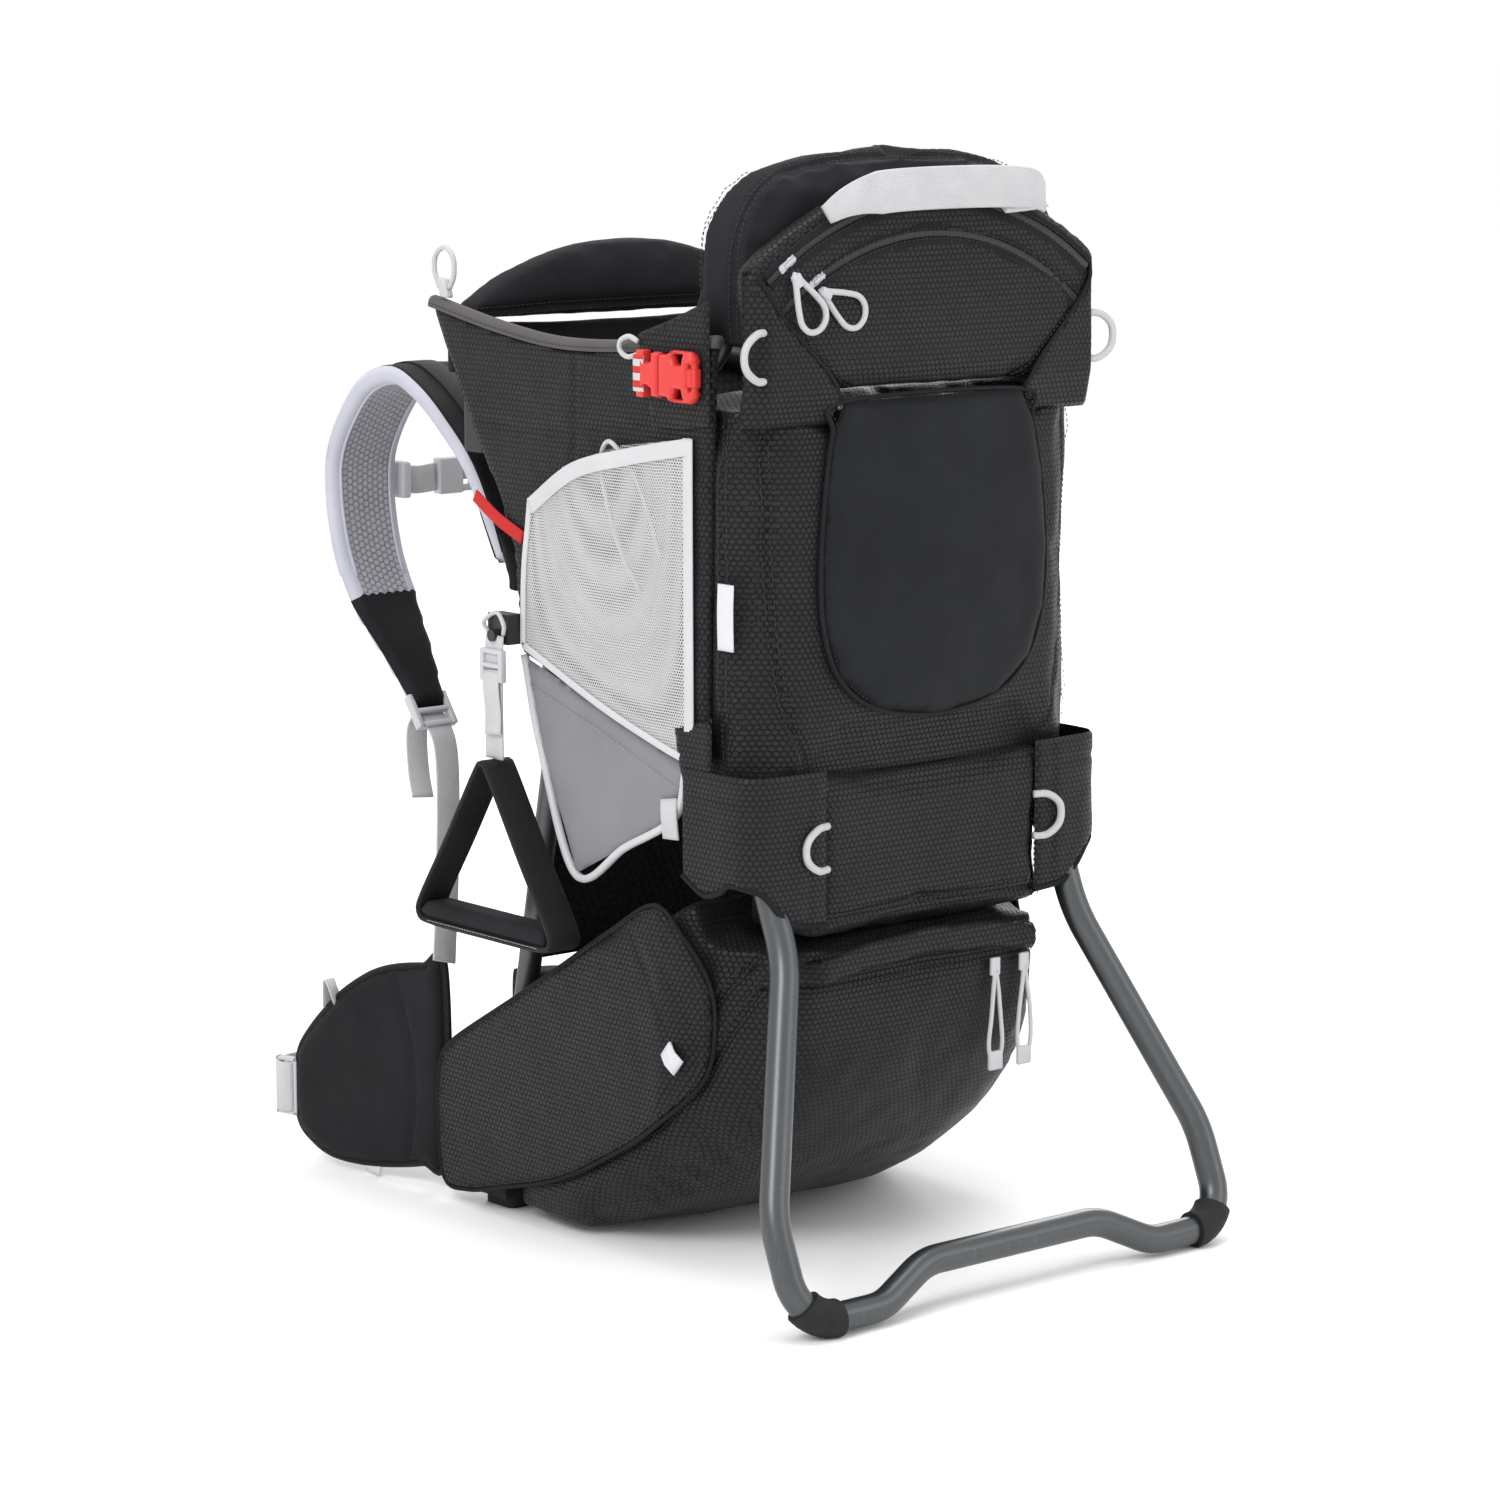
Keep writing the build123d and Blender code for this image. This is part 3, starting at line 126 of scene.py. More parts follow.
class Look:
    """One procedural material, built up node by node."""

    def __init__(self, name, colour, roughness, metallic=0.0, specular=0.5):
        self.material = bpy.data.materials.new(name)
        self.material.use_nodes = True
        self.tree = self.material.node_tree
        self.shader = self.tree.nodes["Principled BSDF"]
        self.colour = colour
        self.roughness = roughness
        self.normal = None
        self.shader.inputs["Base Color"].default_value = (*colour, 1)
        self.shader.inputs["Roughness"].default_value = roughness
        self.shader.inputs["Metallic"].default_value = metallic
        self.shader.inputs["Specular IOR Level"].default_value = specular
        self.places = self.add("TexCoord")

    def add(self, kind, values=None, **settings):
        node = self.tree.nodes.new("ShaderNode" + kind)
        for key, value in settings.items():
            setattr(node, key, value)
        for key, value in (values or {}).items():
            if isinstance(value, bpy.types.NodeSocket):
                self.tree.links.new(value, node.inputs[key])
            else:
                node.inputs[key].default_value = value
        return node

    def maths(self, operation, a, b=0.0):
        return self.add("Math", {0: a, 1: b}, operation=operation).outputs[0]

    def scaled(self, size, source="UV"):
        """Coordinates in metres, divided by a pattern's size in millimetres."""
        sizes = size if isinstance(size, tuple) else (size, size, size)
        factor = tuple(1000 / s for s in sizes)
        return self.add("VectorMath", {0: self.places.outputs[source], 1: factor},
            operation="MULTIPLY").outputs[0]

    def noise(self, size, detail=3.0, source="Object"):
        values = {"Vector": self.scaled(size, source), "Scale": 1.0, "Detail": detail}
        return self.add("TexNoise", values).outputs[0]

    def spread(self, value, low, high, to_low=0.0, to_high=1.0):
        values = {"Value": value, "From Min": low, "From Max": high, "To Min": to_low, "To Max": to_high}
        return self.add("MapRange", values).outputs[0]

    def honeycomb(self, cell, source="UV"):
        node = self.add("Group", node_tree=HONEYCOMB)
        self.tree.links.new(self.scaled(cell, source), node.inputs[0])
        return node.outputs[0]

    def ribs(self, pitch, axis, source="UV"):
        """A rounded rib every pitch millimetres along one axis of the coordinates, 0 to 1."""
        place = self.add("SeparateXYZ", {0: self.scaled(pitch, source)}).outputs[axis]
        turned = self.maths("MULTIPLY", place, 2 * math.pi)
        return self.spread(self.maths("SINE", turned), -1, 1)

    def bump(self, height, distance, strength=1.0):
        values = {"Height": height, "Distance": distance * MM, "Strength": strength}
        if self.normal is not None:
            values["Normal"] = self.normal
        self.normal = self.add("Bump", values).outputs[0]

    def tint(self, factor, colour):
        """Mixes the base colour towards another one."""
        mix = self.add("Mix", {0: factor, 7: (*colour, 1)}, data_type="RGBA")
        socket = self.shader.inputs["Base Color"]
        if socket.is_linked:
            self.tree.links.new(socket.links[0].from_socket, mix.inputs[6])
        else:
            mix.inputs[6].default_value = (*self.colour, 1)
        self.tree.links.new(mix.outputs[2], socket)

    def polish(self, factor, low, high):
        self.tree.links.new(self.spread(factor, 0, 1, low, high), self.shader.inputs["Roughness"])

    def done(self, sheen=0.0, coat=0.0):
        self.shader.inputs["Sheen Weight"].default_value = sheen
        self.shader.inputs["Sheen Roughness"].default_value = 0.45
        self.shader.inputs["Coat Weight"].default_value = coat
        self.shader.inputs["Coat Roughness"].default_value = 0.25
        if self.normal is not None:
            self.tree.links.new(self.normal, self.shader.inputs["Normal"])
        return self.material


def hex_fabric(name, colour, pale, cell=4.0):
    """Tough pack cloth: a honeycomb pressed into a fine plain weave."""
    look = Look(name, colour, 0.5, specular=0.2)
    edge = look.honeycomb(cell)
    line = look.spread(edge, 0.36, 0.49)
    weave = look.maths("MULTIPLY", look.ribs(0.7, 0), look.ribs(0.7, 1))
    cloud = look.noise(60.0, 4.0)
    look.tint(look.spread(cloud, 0.35, 0.75, 0.0, 0.5), pale)
    # Painted highlight: each honeycomb cell's raised middle is mixed towards the pale colour.
    look.tint(look.maths("MULTIPLY", look.spread(edge, 0.34, 0.05), 0.55), pale)
    # Painted shade: the pressed grooves along the cell edges are darkened.
    look.tint(look.maths("MULTIPLY", line, 0.9), tuple(c * 0.25 for c in colour))
    look.tint(look.spread(look.noise(1.1, 2.0), 0.62, 0.8, 0.0, 0.35), pale)
    look.polish(look.maths("ADD", look.maths("MULTIPLY", line, 0.6), look.maths("MULTIPLY", cloud, 0.3)),
        0.34, 0.8)
    look.bump(look.noise(26.0, 3.0), 1.8, 0.4)
    look.bump(look.maths("SUBTRACT", 1.0, line), 0.5, 1.0)
    look.bump(weave, 0.07, 0.6)
    return look.done()


def knit_fabric(name, colour, pale, rib=1.0, sheen=0.015, rough=0.8):
    """Brushed stretch knit with fine wales."""
    look = Look(name, colour, rough, specular=0.12)
    wale = look.maths("MULTIPLY", look.ribs(rib, 0), look.ribs(rib * 0.8, 1))
    look.tint(look.spread(look.noise(45.0, 4.0), 0.35, 0.75, 0.0, 0.55), pale)
    look.tint(look.spread(look.noise(0.8, 2.0), 0.6, 0.8, 0.0, 0.4), pale)
    look.polish(look.noise(30.0, 3.0), rough - 0.12, min(rough + 0.12, 0.95))
    look.bump(look.noise(24.0, 3.0), 1.5, 0.3)
    look.bump(wale, 0.12, 0.7)
    return look.done(sheen=sheen)


def spacer_mesh(name, colour, dark, cell=5.0):
    """Open padded mesh: plump honeycomb cells with small holes between them."""
    look = Look(name, colour, 0.75, specular=0.12)
    edge = look.honeycomb(cell)
    line = look.spread(edge, 0.3, 0.5)
    fine = look.honeycomb(1.2)
    # Painted shade: the holes between the cells are darkened towards the dark colour.
    look.tint(look.maths("MULTIPLY", line, 0.75), dark)
    look.tint(look.spread(fine, 0.36, 0.5, 0.0, 0.35), dark)
    look.tint(look.spread(look.noise(35.0), 0.4, 0.8, 0.0, 0.3), tuple(min(1, c * 1.2) for c in colour))
    look.bump(look.maths("SUBTRACT", 1.0, line), 0.8, 0.8)
    look.bump(fine, 0.15, 0.5)
    return look.done(sheen=0.03)


def open_net(name, colour, cell=2.2, thread=0.3):
    """See-through net: threads round honeycomb holes."""
    look = Look(name, colour, 0.6, specular=0.35)
    edge = look.honeycomb(cell)
    solid = look.spread(edge, thread, thread + 0.07)
    look.tint(look.spread(look.noise(18.0), 0.35, 0.75, 0.0, 0.35), tuple(c * 0.75 for c in colour))
    look.bump(edge, 0.3, 0.6)
    look.tree.links.new(solid, look.shader.inputs["Alpha"])
    return look.done(sheen=0.2)


def webbing_look(name, colour, dark, stripe=None):
    """Woven strap: cords along it and picks across it."""
    look = Look(name, colour, 0.62, specular=0.2)
    along = look.ribs(1.35, 1)
    across = look.ribs(1.0, 0)
    weave = look.maths("MULTIPLY", along, across)
    # Painted shade: the hollows between the cords and the picks are darkened.
    look.tint(look.spread(weave, 0.0, 0.3, 0.45, 0.0), dark)
    look.tint(look.spread(look.noise(20.0), 0.4, 0.8, 0.0, 0.3), dark)
    if stripe:
        look.tint(look.spread(look.ribs(9.0, 1), 0.45, 0.55), stripe)
    look.bump(weave, 0.25, 0.9)
    look.bump(look.noise(8.0), 0.3, 0.3)
    return look.done(sheen=0.03)


def cord_look(name, colour, dark):
    """Round braided cord: two sets of crossing strands."""
    look = Look(name, colour, 0.6, specular=0.4)
    place = look.add("SeparateXYZ", {0: look.scaled(1.5)})
    up = look.maths("ADD", place.outputs[0], place.outputs[1])
    down = look.maths("SUBTRACT", place.outputs[0], place.outputs[1])
    one = look.spread(look.maths("SINE", look.maths("MULTIPLY", up, 2 * math.pi)), -1, 1)
    two = look.spread(look.maths("SINE", look.maths("MULTIPLY", down, 2 * math.pi)), -1, 1)
    braid = look.maths("MULTIPLY", one, two)
    # Painted shade: the hollows between the crossing strands are darkened.
    look.tint(look.spread(braid, 0.0, 0.35, 0.5, 0.0), dark)
    look.bump(braid, 0.3, 0.9)
    return look.done(sheen=0.03)


def plastic(name, colour, rough=0.42, grain=0.5):
    """Moulded plastic: spark-eroded grain, faint flow and scuffed patches."""
    look = Look(name, colour, rough, specular=0.5)
    scuff = look.spread(look.noise(14.0, 6.0), 0.55, 0.75)
    look.tint(look.maths("MULTIPLY", scuff, 0.18), tuple(min(1.0, c * 1.3 + 0.02) for c in colour))
    look.polish(look.noise(9.0, 5.0), rough - 0.08, rough + 0.14)
    look.bump(look.noise(0.5, 2.0), 0.05, grain)
    look.bump(look.noise(6.0, 2.0), 0.12, 0.3)
    return look.done()


def tube_metal(name, colour, rough, metallic=0.9):
    """Anodised or painted tube: brushed along its length, with fine scratches."""
    look = Look(name, colour, rough, metallic)
    drawn = look.noise((0.6, 0.6, 30.0), 3.0)
    scratch = look.spread(look.noise((2.0, 2.0, 40.0), 8.0), 0.62, 0.7)
    look.tint(look.spread(look.noise(50.0, 3.0), 0.4, 0.8, 0.0, 0.3), tuple(c * 1.25 for c in colour))
    look.tint(look.maths("MULTIPLY", scratch, 0.25), tuple(min(1.0, c * 1.9) for c in colour))
    look.polish(drawn, rough - 0.07, rough + 0.1)
    look.bump(drawn, 0.02, 0.35)
    return look.done(coat=0.15)


def rubber(name, colour):
    look = Look(name, colour, 0.78, specular=0.35)
    look.tint(look.spread(look.noise(12.0, 5.0), 0.5, 0.8, 0.0, 0.4), tuple(c * 2.2 for c in colour))
    look.polish(look.noise(7.0, 4.0), 0.65, 0.9)
    look.bump(look.noise(0.9, 3.0), 0.12, 0.5)
    return look.done()


BLACK = (0.0085, 0.009, 0.0105)
PACK = hex_fabric("pack_cloth", BLACK, (0.021, 0.0215, 0.024))
PLAIN = knit_fabric("plain_pack_cloth", (0.0095, 0.0098, 0.011), (0.017, 0.0175, 0.02), rib=0.7,
    sheen=0.0, rough=0.66)
PAD = knit_fabric("padded_knit", (0.0125, 0.013, 0.015), (0.024, 0.025, 0.029))
STRETCH = knit_fabric("stretch_cloth", (0.0095, 0.0102, 0.012), (0.0155, 0.0168, 0.0195), rib=0.6,
    sheen=0.02, rough=0.62)
LINING = knit_fabric("lining", (0.016, 0.0165, 0.018), (0.028, 0.029, 0.032), rib=0.9)
SPACER = spacer_mesh("spacer_mesh_pale", (0.36, 0.365, 0.395), (0.13, 0.13, 0.148))
SPACER_DARK = spacer_mesh("spacer_mesh_dark", (0.022, 0.023, 0.026), (0.006, 0.006, 0.007), cell=6.5)
FOAM = knit_fabric("foam_edge", (0.44, 0.44, 0.51), (0.52, 0.52, 0.58), rib=0.9, sheen=0.1)
NET = open_net("pocket_net", (0.56, 0.56, 0.565))
FENDER = knit_fabric("fender_cloth", (0.2, 0.197, 0.215), (0.26, 0.255, 0.275), rib=0.7, sheen=0.05,
    rough=0.7)
BIND = knit_fabric("pale_binding", (0.5, 0.5, 0.515), (0.58, 0.58, 0.6), rib=1.1, sheen=0.05)
RIM = knit_fabric("rim_binding", (0.085, 0.078, 0.078), (0.12, 0.11, 0.11), rib=1.0, sheen=0.05)
WEB_PALE = webbing_look("webbing_pale", (0.56, 0.56, 0.57), (0.3, 0.3, 0.32))
WEB_BLACK = webbing_look("webbing_black", (0.012, 0.012, 0.013), (0.004, 0.004, 0.0045))
WEB_STRIPE = webbing_look("webbing_striped", (0.58, 0.57, 0.56), (0.32, 0.3, 0.3), stripe=(0.5, 0.03,
    0.025))
RED_TAPE = webbing_look("red_tape", (0.55, 0.02, 0.018), (0.26, 0.008, 0.007))
CORD = cord_look("cord_pale", (0.58, 0.58, 0.59), (0.3, 0.3, 0.32))
THREAD = cord_look("sewing_thread", (0.03, 0.03, 0.033), (0.012, 0.012, 0.013))
THREAD_PALE = cord_look("pale_thread", (0.42, 0.42, 0.44), (0.25, 0.25, 0.27))
ZIP = Look("zip_coil", (0.012, 0.012, 0.0135), 0.4)
ZIP.bump(ZIP.ribs(1.3, 0), 0.5, 1.0)
# Painted highlight: the crests of the coil's teeth are lightened.
ZIP.tint(ZIP.spread(ZIP.ribs(1.3, 0), 0.6, 1.0, 0.0, 0.7), (0.04, 0.04, 0.045))
ZIP = ZIP.done()
GREY_PLASTIC = plastic("grey_plastic", (0.46, 0.46, 0.48))
RED_PLASTIC = plastic("red_plastic", (0.6, 0.028, 0.022), rough=0.36)
BLACK_PLASTIC = plastic("black_plastic", (0.012, 0.012, 0.013), rough=0.4)
WHITE_TAB = knit_fabric("white_tab", (0.6, 0.61, 0.63), (0.68, 0.68, 0.7), rib=0.5, sheen=0.05)
STAND_METAL = tube_metal("stand_tube", (0.085, 0.09, 0.094), 0.34, metallic=0.85)
FRAME_METAL = tube_metal("frame_tube", (0.09, 0.094, 0.1), 0.42, metallic=0.8)
STEEL = tube_metal("pin_steel", (0.4, 0.4, 0.4), 0.3, metallic=1.0)
RUBBER = rubber("foot_rubber", (0.011, 0.011, 0.012))


# ---------------------------------------------------------------- shapes
def sized(points):
    return np.array(points, float)


def resampled(points, step, closed=False):
    """The same polyline with points about one step apart."""
    points = sized(points)
    if closed:
        points = np.vstack([points, points[:1]])
    runs = np.linalg.norm(np.diff(points, axis=0), axis=1)
    along = np.concatenate([[0], np.cumsum(runs)])
    count = max(2, int(round(along[-1] / step)) + 1)
    marks = np.linspace(0, along[-1], count)
    made = np.column_stack([np.interp(marks, along, points[:, k]) for k in range(points.shape[1])])
    return made[:-1] if closed else made


def curved(points, step=4.0, closed=False):
    """A smooth line through the points, in steps of about the given length."""
    points = sized(points)
    count = len(points)
    if closed:
        around = np.vstack([points[-1:], points, points[:2]])
        spans = count
    else:
        around = np.vstack([2 * points[0] - points[1], points, 2 * points[-1] - points[-2]])
        spans = count - 1
    parts = []
    marks = np.linspace(0, 1, 13)[:-1, None]
    for k in range(spans):
        a, b, c, d = around[k : k + 4]
        parts.append(
            0.5
            * (
                2 * b + (c - a) * marks
                + (2 * a - 5 * b + 4 * c - d) * marks**2
                + (3 * b - a - 3 * c + d) * marks**3
            )
        )
    line = np.vstack(parts + ([] if closed else [points[-1:]]))
    return resampled(line, step, closed)


def arc(centre, radius, start, end, step=3.0):
    """Points of an arc in a plane, angles in degrees from the second axis, clockwise."""
    count = max(3, int(abs(end - start) * math.pi / 180 * radius / step))
    turns = np.radians(np.linspace(start, end, count))
    return np.column_stack([centre[0] + radius * np.sin(turns), centre[1] + radius * np.cos(turns)])


def put(name, verts, faces, materials, body, uvs=None, paint=None, closed=True):
    """A mesh object from millimetre points, riding on a body."""
    mesh = bpy.data.meshes.new(name)
    mesh.from_pydata((np.asarray(verts) * MM).tolist(), [], [tuple(map(int, f)) for f in faces])
    for material in materials if isinstance(materials, (list, tuple)) else [materials]:
        mesh.materials.append(material)
    if paint is not None:
        mesh.polygons.foreach_set("material_index", np.asarray(paint, np.int32))
    if uvs is not None:
        layer = mesh.uv_layers.new(name="UVMap")
        corners = np.zeros(len(mesh.loops), np.int32)
        mesh.loops.foreach_get("vertex_index", corners)
        layer.data.foreach_set("uv", (np.asarray(uvs)[corners] * MM).astype(np.float32).ravel())
    mesh.polygons.foreach_set("use_smooth", np.ones(len(mesh.polygons), bool))
    mesh.validate()
    mesh.update()
    made = bpy.data.objects.new(name, mesh)
    SCENE.collection.objects.link(made)
    if closed:
        outward(made)
    if body:
        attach(made, body)
    return made


def outward(piece):
    """Turns a closed mesh's faces outwards."""
    work = bmesh.new()
    work.from_mesh(piece.data)
    bmesh.ops.recalc_face_normals(work, faces=work.faces)
    work.to_mesh(piece.data)
    work.free()


def frames_along(path, across, closed):
    """Tangent, side and third direction at each point of a path."""
    if closed:
        tangent = np.roll(path, -1, 0) - np.roll(path, 1, 0)
    else:
        tangent = np.gradient(path, axis=0)
    tangent /= np.linalg.norm(tangent, axis=1)[:, None]
    if across is None:
        side = np.zeros_like(path)
        guess = np.array([0.3, 0.5, 0.8])
        current = guess - (guess @ tangent[0]) * tangent[0]
        for k in range(len(path)):
            current = current - (current @ tangent[k]) * tangent[k]
            current /= np.linalg.norm(current)
            side[k] = current
    else:
        side = np.broadcast_to(np.asarray(across, float), path.shape).copy()
        side -= (side * tangent).sum(1)[:, None] * tangent
        side /= np.linalg.norm(side, axis=1)[:, None]
    return tangent, side, np.cross(tangent, side)


def sweep(name, path, profile, material, body, across=None, closed=False, scale=None,
    paint=None):
    """A profile of (side, third) millimetre points carried along a path."""
    path = sized(path)
    profile = sized(profile)
    tangent, side, third = frames_along(path, across, closed)
    count, ring = len(path), len(profile)
    sizes = np.ones((count, 2)) if scale is None else np.asarray(scale, float)
    if sizes.ndim == 1:
        sizes = np.column_stack([sizes, sizes])
    verts = (
        path[:, None]
        + side[:, None] * (profile[None, :, 0] * sizes[:, :1])[..., None]
        + third[:, None] * (profile[None, :, 1] * sizes[:, 1:])[..., None]
    ).reshape(-1, 3)
    runs = np.linalg.norm(np.diff(np.vstack([path, path[:1]]), axis=0), axis=1)
    along = np.concatenate([[0], np.cumsum(runs)])[:count]
    rounds = np.concatenate([[0], np.cumsum(np.linalg.norm(np.diff(profile, axis=0), axis=1))])
    uvs = np.column_stack([np.repeat(along, ring), np.tile(rounds, count)])
    faces = []
    for k in range(count if closed else count - 1):
        n = (k + 1) % count
        for j in range(ring):
            m = (j + 1) % ring
            faces.append((k * ring + j, n * ring + j, n * ring + m, k * ring + m))
    if not closed:
        faces.append(tuple(range(ring)))
        faces.append(tuple(range((count - 1) * ring, count * ring)))
    return put(name, verts, faces, material, body, uvs, paint=paint)


def rounded(width, thick, corner=None, steps=3):
    """A rectangle with rounded corners, as profile points."""
    corner = min(width, thick) / 2 * 0.9 if corner is None else corner
    made = []
    for sx, sy, start in ((1, 1, 0), (-1, 1, 90), (-1, -1, 180), (1, -1, 270)):
        cx, cy = sx * (width / 2 - corner), sy * (thick / 2 - corner)
        for k in range(steps + 1):
            turn = math.radians(start + 90 * k / steps)
            made.append((cx + corner * math.cos(turn), cy + corner * math.sin(turn)))
    return made


def round_section(radius, sides=10):
    return [(radius * math.cos(2 * math.pi * k / sides),
        radius * math.sin(2 * math.pi * k / sides)) for k in range(sides)]


def inside(points, loops):
    """Even-odd test of points against closed loops."""
    hit = np.zeros(len(points), bool)
    x, y = points[:, 0], points[:, 1]
    for loop in loops:
        a, b = loop, np.roll(loop, -1, 0)
        for (x1, y1), (x2, y2) in zip(a, b):
            if y1 == y2:
                continue
            cross = ((y1 > y) != (y2 > y)) & (x < (x2 - x1) * (y - y1) / (y2 - y1) + x1)
            hit ^= cross
    return hit


def to_lines(points, lines):
    """Distance from each point to the nearest of some polylines."""
    best = np.full(len(points), 1e9)
    for line in lines:
        a, b = line[:-1], line[1:]
        d = b - a
        span = np.maximum((d**2).sum(1), 1e-12)
        t = np.clip(((points[:, None] - a[None]) * d[None]).sum(2) / span, 0, 1)
        near = np.linalg.norm(points[:, None] - (a[None] + t[..., None] * d[None]), axis=2)
        best = np.minimum(best, near.min(1))
    return best


def pillow(name, outline, place, thick, material, body, step=5.0, rim=8.0, seams=(), groove=2.0,
    groove_width=3.0,
           holes=(), back=None, paint=None, single=False, wave=0.0, seed=0):
    """A sewn panel: an outline filled with a fine grid, puffed between its edge and its seams.
    place(u, v, h) turns outline coordinates and height into millimetre points."""
    loops = [resampled(outline, step, True)] + [resampled(h, min(step, 2.5), True) for h in holes]
    low, high = loops[0].min(0), loops[0].max(0)
    rows = np.arange(low[1], high[1] + step, step * 0.87)
    grid = np.vstack(
        [
            np.column_stack([np.arange(low[0] + (k % 2) * step / 2, high[0] + step, step),
                np.full_like(np.arange(low[0] + (k % 2) * step / 2, high[0] + step, step), z)])
            for k, z in enumerate(rows)
        ]
    )
    rings = [np.vstack([loop, loop[:1]]) for loop in loops]
    keep = inside(grid, loops) & (to_lines(grid, rings) > step * 0.45)
    lines = [resampled(s, step * 0.7) for s in seams]
    extra = [grid[keep]]
    for line in lines:
        kept = line[inside(line, loops) & (to_lines(line, rings) > step * 0.3)]
        extra.append(kept)
    if lines:
        near = to_lines(extra[0], lines)
        extra[0] = extra[0][near > step * 0.4]
    free = np.vstack(extra)
    edge = np.vstack(loops)
    points = np.vstack([edge, free])
    links, start = [], 0
    for loop in loops:
        count = len(loop)
        links += [(start + k, start + (k + 1) % count) for k in range(count)]
        start += count
    verts, _, faces, _, _, _ = delaunay_2d_cdt([Vector(p) for p in points], links, [], 0, 1e-4)
    verts = np.array([tuple(v) for v in verts])
    faces = np.array([tuple(f) for f in faces if len(f) == 3])
    faces = faces[inside(verts[faces].mean(1), loops)]
    to_edge = to_lines(verts, rings)
    puff = np.sqrt(np.maximum(0, 1 - (1 - np.clip(to_edge / rim, 0, 1)) ** 2))
    dip = np.zeros(len(verts))
    if lines:
        dip = np.exp(-((to_lines(verts, lines) / groove_width) ** 2)) * groove
    ripple = np.zeros(len(verts))
    if wave:
        ripple = np.array([noise.noise((u / 38, v / 38, seed)) + 0.5 * noise.noise((u / 15, v / 15,
            seed + 7)) for u, v in verts]) * wave
    front_high = thick / 2 * puff - dip * puff + ripple * puff
    back_high = -(thick if back is None else back) / 2 * puff + (ripple * puff if wave else 0)
    top = place(verts[:, 0], verts[:, 1], front_high)
    rim_ring = to_edge < 1e-3
    if single:
        all_verts, all_faces, all_uv = top, faces, verts
        flags = np.ones(len(faces), bool)
    else:
        under = place(verts[:, 0], verts[:, 1], back_high)
        index = np.where(rim_ring, np.arange(len(verts)), np.cumsum(~rim_ring) - 1 + len(verts))
        all_verts = np.vstack([top, under[~rim_ring]])
        all_uv = np.vstack([verts, verts[~rim_ring]])
        all_faces = np.vstack([faces, index[faces][:, ::-1]])
        flags = np.concatenate([np.ones(len(faces), bool), np.zeros(len(faces), bool)])
    painted = None
    if paint is not None:
        middle = np.vstack([verts[faces].mean(1)] * (1 if single else 2))
        far = np.concatenate([to_edge[faces].mean(1)] * (1 if single else 2))
        painted = paint(middle[:, 0], middle[:, 1], far, flags)
    return put(name, all_verts, all_faces, material, body, all_uv, painted, closed=not single)


def box_uv(piece):
    """UVs in metres, from whichever face of a box each polygon looks at."""
    mesh = piece.data
    layer = mesh.uv_layers.new(name="UVMap") if not mesh.uv_layers else mesh.uv_layers[0]
    count = len(mesh.loops)
    corner = np.zeros(count, np.int32)
    mesh.loops.foreach_get("vertex_index", corner)
    co = np.zeros(len(mesh.vertices) * 3, np.float32)
    mesh.vertices.foreach_get("co", co)
    co = co.reshape(-1, 3)[corner]
    normal = np.zeros(len(mesh.polygons) * 3, np.float32)
    mesh.polygons.foreach_get("normal", normal)
    total = np.zeros(len(mesh.polygons), np.int32)
    mesh.polygons.foreach_get("loop_total", total)
    main = np.repeat(np.abs(normal.reshape(-1, 3)).argmax(1), total)
    uv = np.where((main == 0)[:, None], co[:, [1, 2]], np.where((main == 1)[:, None], co[:, [0, 2]],
        co[:, [0, 1]]))
    layer.data.foreach_set("uv", uv.astype(np.float32).ravel())


def cords_of(piece):
    co = np.zeros(len(piece.data.vertices) * 3, np.float32)
    piece.data.vertices.foreach_get("co", co)
    return co.reshape(-1, 3).astype(float)


def normals_of(piece):
    normal = np.zeros(len(piece.data.vertices) * 3, np.float32)
    piece.data.vertices.foreach_get("normal", normal)
    return normal.reshape(-1, 3).astype(float)


def set_cords(piece, co):
    piece.data.vertices.foreach_set("co", np.asarray(co, np.float32).ravel())
    piece.data.update()


def apply_modifiers(piece):
    graph = bpy.context.evaluated_depsgraph_get()
    fresh = bpy.data.meshes.new_from_object(piece.evaluated_get(graph))
    old = piece.data
    piece.modifiers.clear()
    piece.data = fresh
    bpy.data.meshes.remove(old)


SOFT = []
SEWN = []


def soft_copy(node, name, material, body, voxel=5.0, cap=6.0, shrink=2.0, pressure=4.0, seams=(),
    groove=2.5,
              groove_width=4.0, wrinkle=0.8, fill=0.6, slot=None, levels=1, smooth=6, bulge=None):
    """A padded piece grown from a CAD node: remeshed and shrunk a little.
    The cloth solver below blows it up."""
    mesh = NODES[node].data.copy()
    mesh.materials.clear()
    piece = bpy.data.objects.new(name, mesh)
    SCENE.collection.objects.link(piece)
    remesh = piece.modifiers.new("remesh", "REMESH")
    remesh.mode = "VOXEL"
    remesh.voxel_size = voxel * MM
    apply_modifiers(piece)
    smoother = piece.modifiers.new("smooth", "SMOOTH")
    smoother.iterations = smooth
    smoother.factor = 0.5
    apply_modifiers(piece)
    set_cords(piece, cords_of(piece) - normals_of(piece) * shrink * MM)
    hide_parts(node)
    SOFT.append(dict(piece=piece, body=body, material=material, cap=cap, pressure=pressure, seams=seams,
        groove=groove,
                     width=groove_width, wrinkle=wrinkle, fill=fill, slot=slot, levels=levels,
                     bulge=bulge))
    return piece


